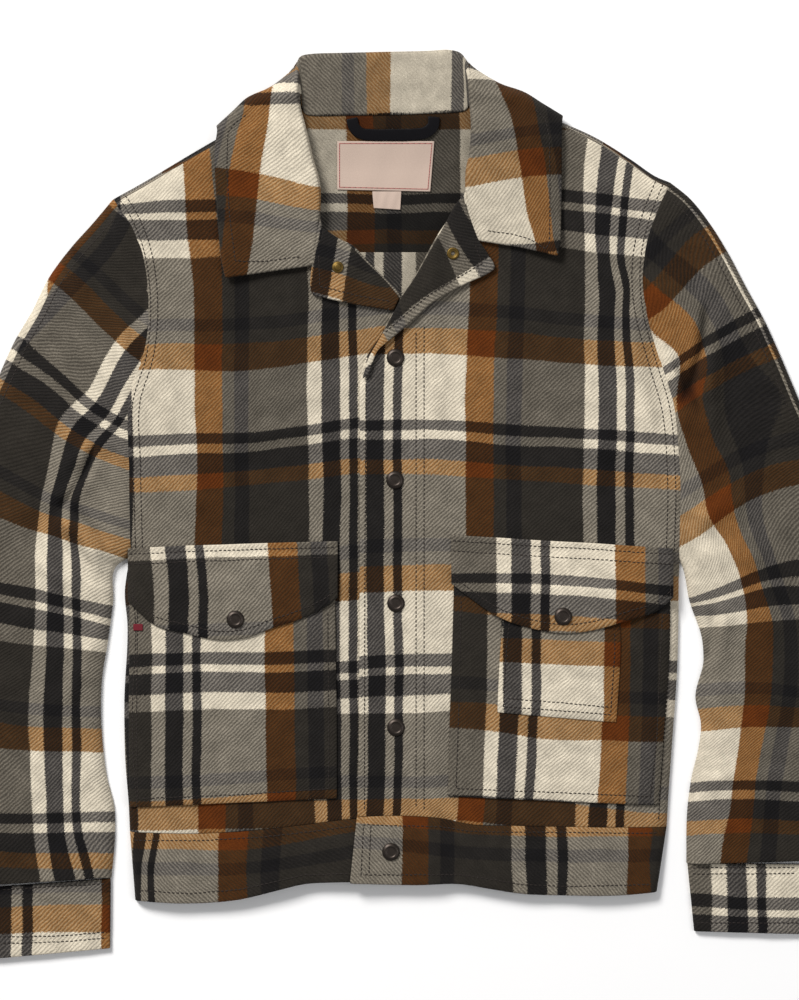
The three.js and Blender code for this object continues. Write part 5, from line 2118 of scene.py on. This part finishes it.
def stitch_row(path, pieces, length=3.3, gap=0.55, thread=0.46, seed=1):
    """path is a list of (x, y) in squares; each stitch lies on the highest of the named pieces there."""
    p = np.array(path, float)
    s = lengths(p[:, 0], p[:, 1])
    X, Y = (lambda q: np.interp(q, s, p[:, 0])), (lambda q: np.interp(q, s, p[:, 1]))
    pitch = (length + gap) / SQUARE
    rng = np.random.default_rng(seed)
    trees = [TREES[k] for k in pieces]
    sides, rings = 6, 5
    for i in range(int(s[-1] / pitch)):
        q0 = i * pitch + 0.4
        jitter = rng.uniform(-0.25, 0.25)
        pts = []
        for k in range(rings):
            t = k / (rings - 1)
            q = q0 + t * length / SQUARE
            gx, gy = mm(X(q), Y(q) + jitter)
            top = None
            for tr in trees:
                h = tr.ray_cast(Vector((float(gx), float(gy), 60)), Vector((0, 0, -1)))
                if h[0] is not None and (top is None or h[0].z > top):
                    top = h[0].z
            if top is None:
                break
            pts.append((float(gx), float(gy), top + thread * (1.0 * math.sin(math.pi * t) - 0.55)))
        if len(pts) < rings:
            continue
        c = np.array(pts)
        d = unit(c[-1] - c[0])
        side = unit(np.cross(d, (0, 0, 1)))
        up = np.cross(side, d)
        base = len(STITCH_V)
        for k, pt in enumerate(c):
            r = thread * (0.35 if k in (0, rings - 1) else 1.0)
            for a in range(sides):
                w = 2 * math.pi * a / sides
                STITCH_V.append(tuple(pt + side * r * math.cos(w) + up * r * 0.8 * math.sin(w)))
        for k in range(rings - 1):
            for a in range(sides):
                b = (a + 1) % sides
                STITCH_Q.append((base + k * sides + a, base + k * sides + b, base + (k + 1) * sides + b, base + (k + 1) * sides + a))
        STITCH_Q.append((base, base + 1, base + 2, base + 3))
        STITCH_Q.append((base, base + 3, base + 4, base + 5))
        e = base + (rings - 1) * sides
        STITCH_Q.append((e + 3, e + 2, e + 1, e))
        STITCH_Q.append((e + 5, e + 4, e + 3, e))


def curve_path(t, kx="x", ky="y", dx=0.0, dy=0.0, n=60, lo=0.0, hi=1.0):
    f = along(t, kx, ky)
    x, y = f(np.linspace(lo, hi, n))
    return list(zip(x + dx, y + dy))


def beside(t, d, lo=0.0, hi=1.0, n=70, kx="x", ky="y"):
    """A line beside a seam, d squares to its right as the table runs."""
    f = along(t, kx, ky)
    s = np.linspace(lo, hi, n)
    x, y = f(s)
    x1, y1 = f(np.clip(s + 0.02, 0, 1))
    x0, y0 = f(np.clip(s - 0.02, 0, 1))
    T = unit(np.stack([x1 - x0, y1 - y0], -1))
    return list(zip(x - T[:, 1] * d, y + T[:, 0] * d))


COLLAR_ROW_R = table("""x y
247 116
236 124
228.5 134
227.5 170
230 215
236 262
262 262.5
303 257""")
COLLAR_ROW_L = table("""x y
487 231.5
512 235
530 240
545 250
549 243
549.5 190
549 140
545 121
534 110""")
LAPEL_ROW_L = table("""x y
385 333
407 314
430 295
460 277
482 264
474 243""")
LAPEL_ROW_R = table("""x y
390 302
356 296
320 287
319 252""")
STITCHES = [
    (beside(ARMHOLE_R, -5), ["front_right_cloth"]),
    (beside(ARMHOLE_R, -12), ["front_right_cloth"]),
    (beside(ARMHOLE_L, 5), ["front_left_cloth"]),
    (beside(ARMHOLE_L, 13), ["front_left_cloth"]),
    (beside(SIDE_R, -9, 0.1, 0.99), ["front_right_cloth", "pocket_right_cloth", "flap_right_cloth"]),
    (beside(SIDE_L, 9, 0.1, 0.99), ["front_left_cloth", "pocket_left_cloth", "flap_left_cloth"]),
    (beside(SLEEVE_OUT_R, -14, 0.02, 0.98), ["sleeve_right_front_cloth"]),
    (beside(SLEEVE_OUT_L, 14, 0.02, 0.98), ["sleeve_left_front_cloth"]),
    (list(zip(COLLAR_ROW_R["x"], COLLAR_ROW_R["y"])), ["collar_cloth"]),
    (list(zip(COLLAR_ROW_L["x"], COLLAR_ROW_L["y"])), ["collar_cloth"]),
    (list(zip(LAPEL_ROW_L["x"], LAPEL_ROW_L["y"])), ["lapel_left_cloth"]),
    (list(zip(LAPEL_ROW_R["x"], LAPEL_ROW_R["y"])), ["lapel_right_cloth"]),
    ([(2, 890), (60, 886), (107, 884)], ["cuff_right_cloth"]),
    ([(2, 937), (60, 936), (107, 932)], ["cuff_right_cloth"]),
    ([(2, 943.5), (60, 942), (107, 938)], ["cuff_right_cloth"]),
    ([(692, 868), (799, 867.5)], ["cuff_left_cloth"]),
    ([(692, 874), (799, 873.5)], ["cuff_left_cloth"]),
    ([(696, 923), (799, 923)], ["cuff_left_cloth"]),
    ([(416, 332), (416, 560), (416, 811)], ["front_left_cloth"]),
    ([(424, 326), (424, 560), (424, 811)], ["front_left_cloth"]),
    ([(366, 384), (365, 560), (364.5, 812)], ["front_left_cloth"]),
    ([(363.5, 826), (361, 876)], ["waistband_left_cloth"]),
    ([(371, 824), (369, 874)], ["waistband_left_cloth"]),
    ([(362, 824), (440, 826), (470, 831), (660, 833)], ["waistband_left_cloth"]),
    ([(134, 840), (200, 840), (257, 837), (311, 831), (354, 825.5)], ["waistband_right_cloth"]),
    ([(140, 890), (190, 893), (240, 889), (303, 874.5), (350, 873)], ["waistband_right_cloth"]),
    ([(364, 874), (462, 874), (523, 884), (564, 886), (650, 884)], ["waistband_left_cloth"]),
    (curve_path(FLAP_R, "x", "top", 0, 5), ["flap_right_cloth"]),
    (curve_path(FLAP_R, "x", "top", 0, 15), ["flap_right_cloth"]),
    (curve_path(FLAP_R, "x", "bottom", 0, -8), ["flap_right_cloth"]),
    (curve_path(FLAP_L, "x", "top", 0, 5), ["flap_left_cloth"]),
    (curve_path(FLAP_L, "x", "top", 0, 15), ["flap_left_cloth"]),
    (curve_path(FLAP_L, "x", "bottom", 0, -8), ["flap_left_cloth"]),
    ([(138, 610), (137, 740), (138, 798), (240, 794), (329, 788), (329, 735), (328, 612)], ["pocket_right_cloth"]),
    ([(461, 600), (459, 700), (456, 788), (560, 792), (650, 796), (656, 740), (662, 612)], ["pocket_left_cloth"]),
    ([(509, 622), (506, 650), (503, 706), (560, 710), (610, 714), (614, 655), (614, 632)], ["pocket_small_cloth"]),
    ([(506, 698), (560, 702), (612, 707)], ["pocket_small_cloth"]),
]
for i, (path, pieces) in enumerate(STITCHES):
    stitch_row(path, pieces, seed=100 + i)
if STITCH_V:
    st = make_object("stitches", np.array(STITCH_V), STITCH_Q, None, THREAD)


# ---- floor, light and camera ----
def area_light(name, loc, target, size, energy, color=(1, 1, 1)):
    l = bpy.data.lights.new(name, "AREA")
    l.shape, l.size, l.energy, l.color = "SQUARE", size, energy, color
    o = bpy.data.objects.new(name, l)
    o.location = loc
    o.rotation_euler = (Vector(target) - Vector(loc)).to_track_quat("-Z", "Y").to_euler()
    bpy.context.scene.collection.objects.link(o)


def floor():
    me = bpy.data.meshes.new("floor")
    s = 6.0
    me.from_pydata([(-s, -s, 0), (s, -s, 0), (s, s, 0), (-s, s, 0)], [], [(0, 1, 2, 3)])
    g = Nodes("floor_paper")
    g.bsdf.inputs["Base Color"].default_value = (0.88, 0.88, 0.885, 1)
    g.bsdf.inputs["Roughness"].default_value = 0.9
    g.bsdf.inputs["Specular IOR Level"].default_value = 0.1
    me.materials.append(g.mat)
    o = bpy.data.objects.new("floor", me)
    bpy.context.scene.collection.objects.link(o)
    return o


floor()
world = bpy.data.worlds.new("studio")
world.use_nodes = True
world.node_tree.nodes["Background"].inputs[0].default_value = (1.0, 1.0, 1.0, 1.0)
world.node_tree.nodes["Background"].inputs[1].default_value = 0.30
bpy.context.scene.world = world
area_light("key", (-2.5, 3.4, 3.4), (0, 0, 0), 1.7, 378, (1.0, 0.985, 0.965))
area_light("fill", (2.4, -0.6, 3.2), (0, 0, 0), 2.2, 36, (0.97, 0.98, 1.0))

cam = bpy.data.cameras.new("camera")
cam.sensor_fit = "VERTICAL"
cam.sensor_height = 36.0
D = 3.2
cam.lens = 36.0 * D / (1000 * SQUARE / 1000.0)
camera = bpy.data.objects.new("camera", cam)
cx, cy = mm(399.5, 500.0)
camera.location = (float(cx) / 1000, float(cy) / 1000, D + 0.006)
camera.rotation_euler = (0, 0, 0)
bpy.context.scene.collection.objects.link(camera)
bpy.context.scene.camera = camera
bpy.context.scene.view_settings.view_transform = "Standard"
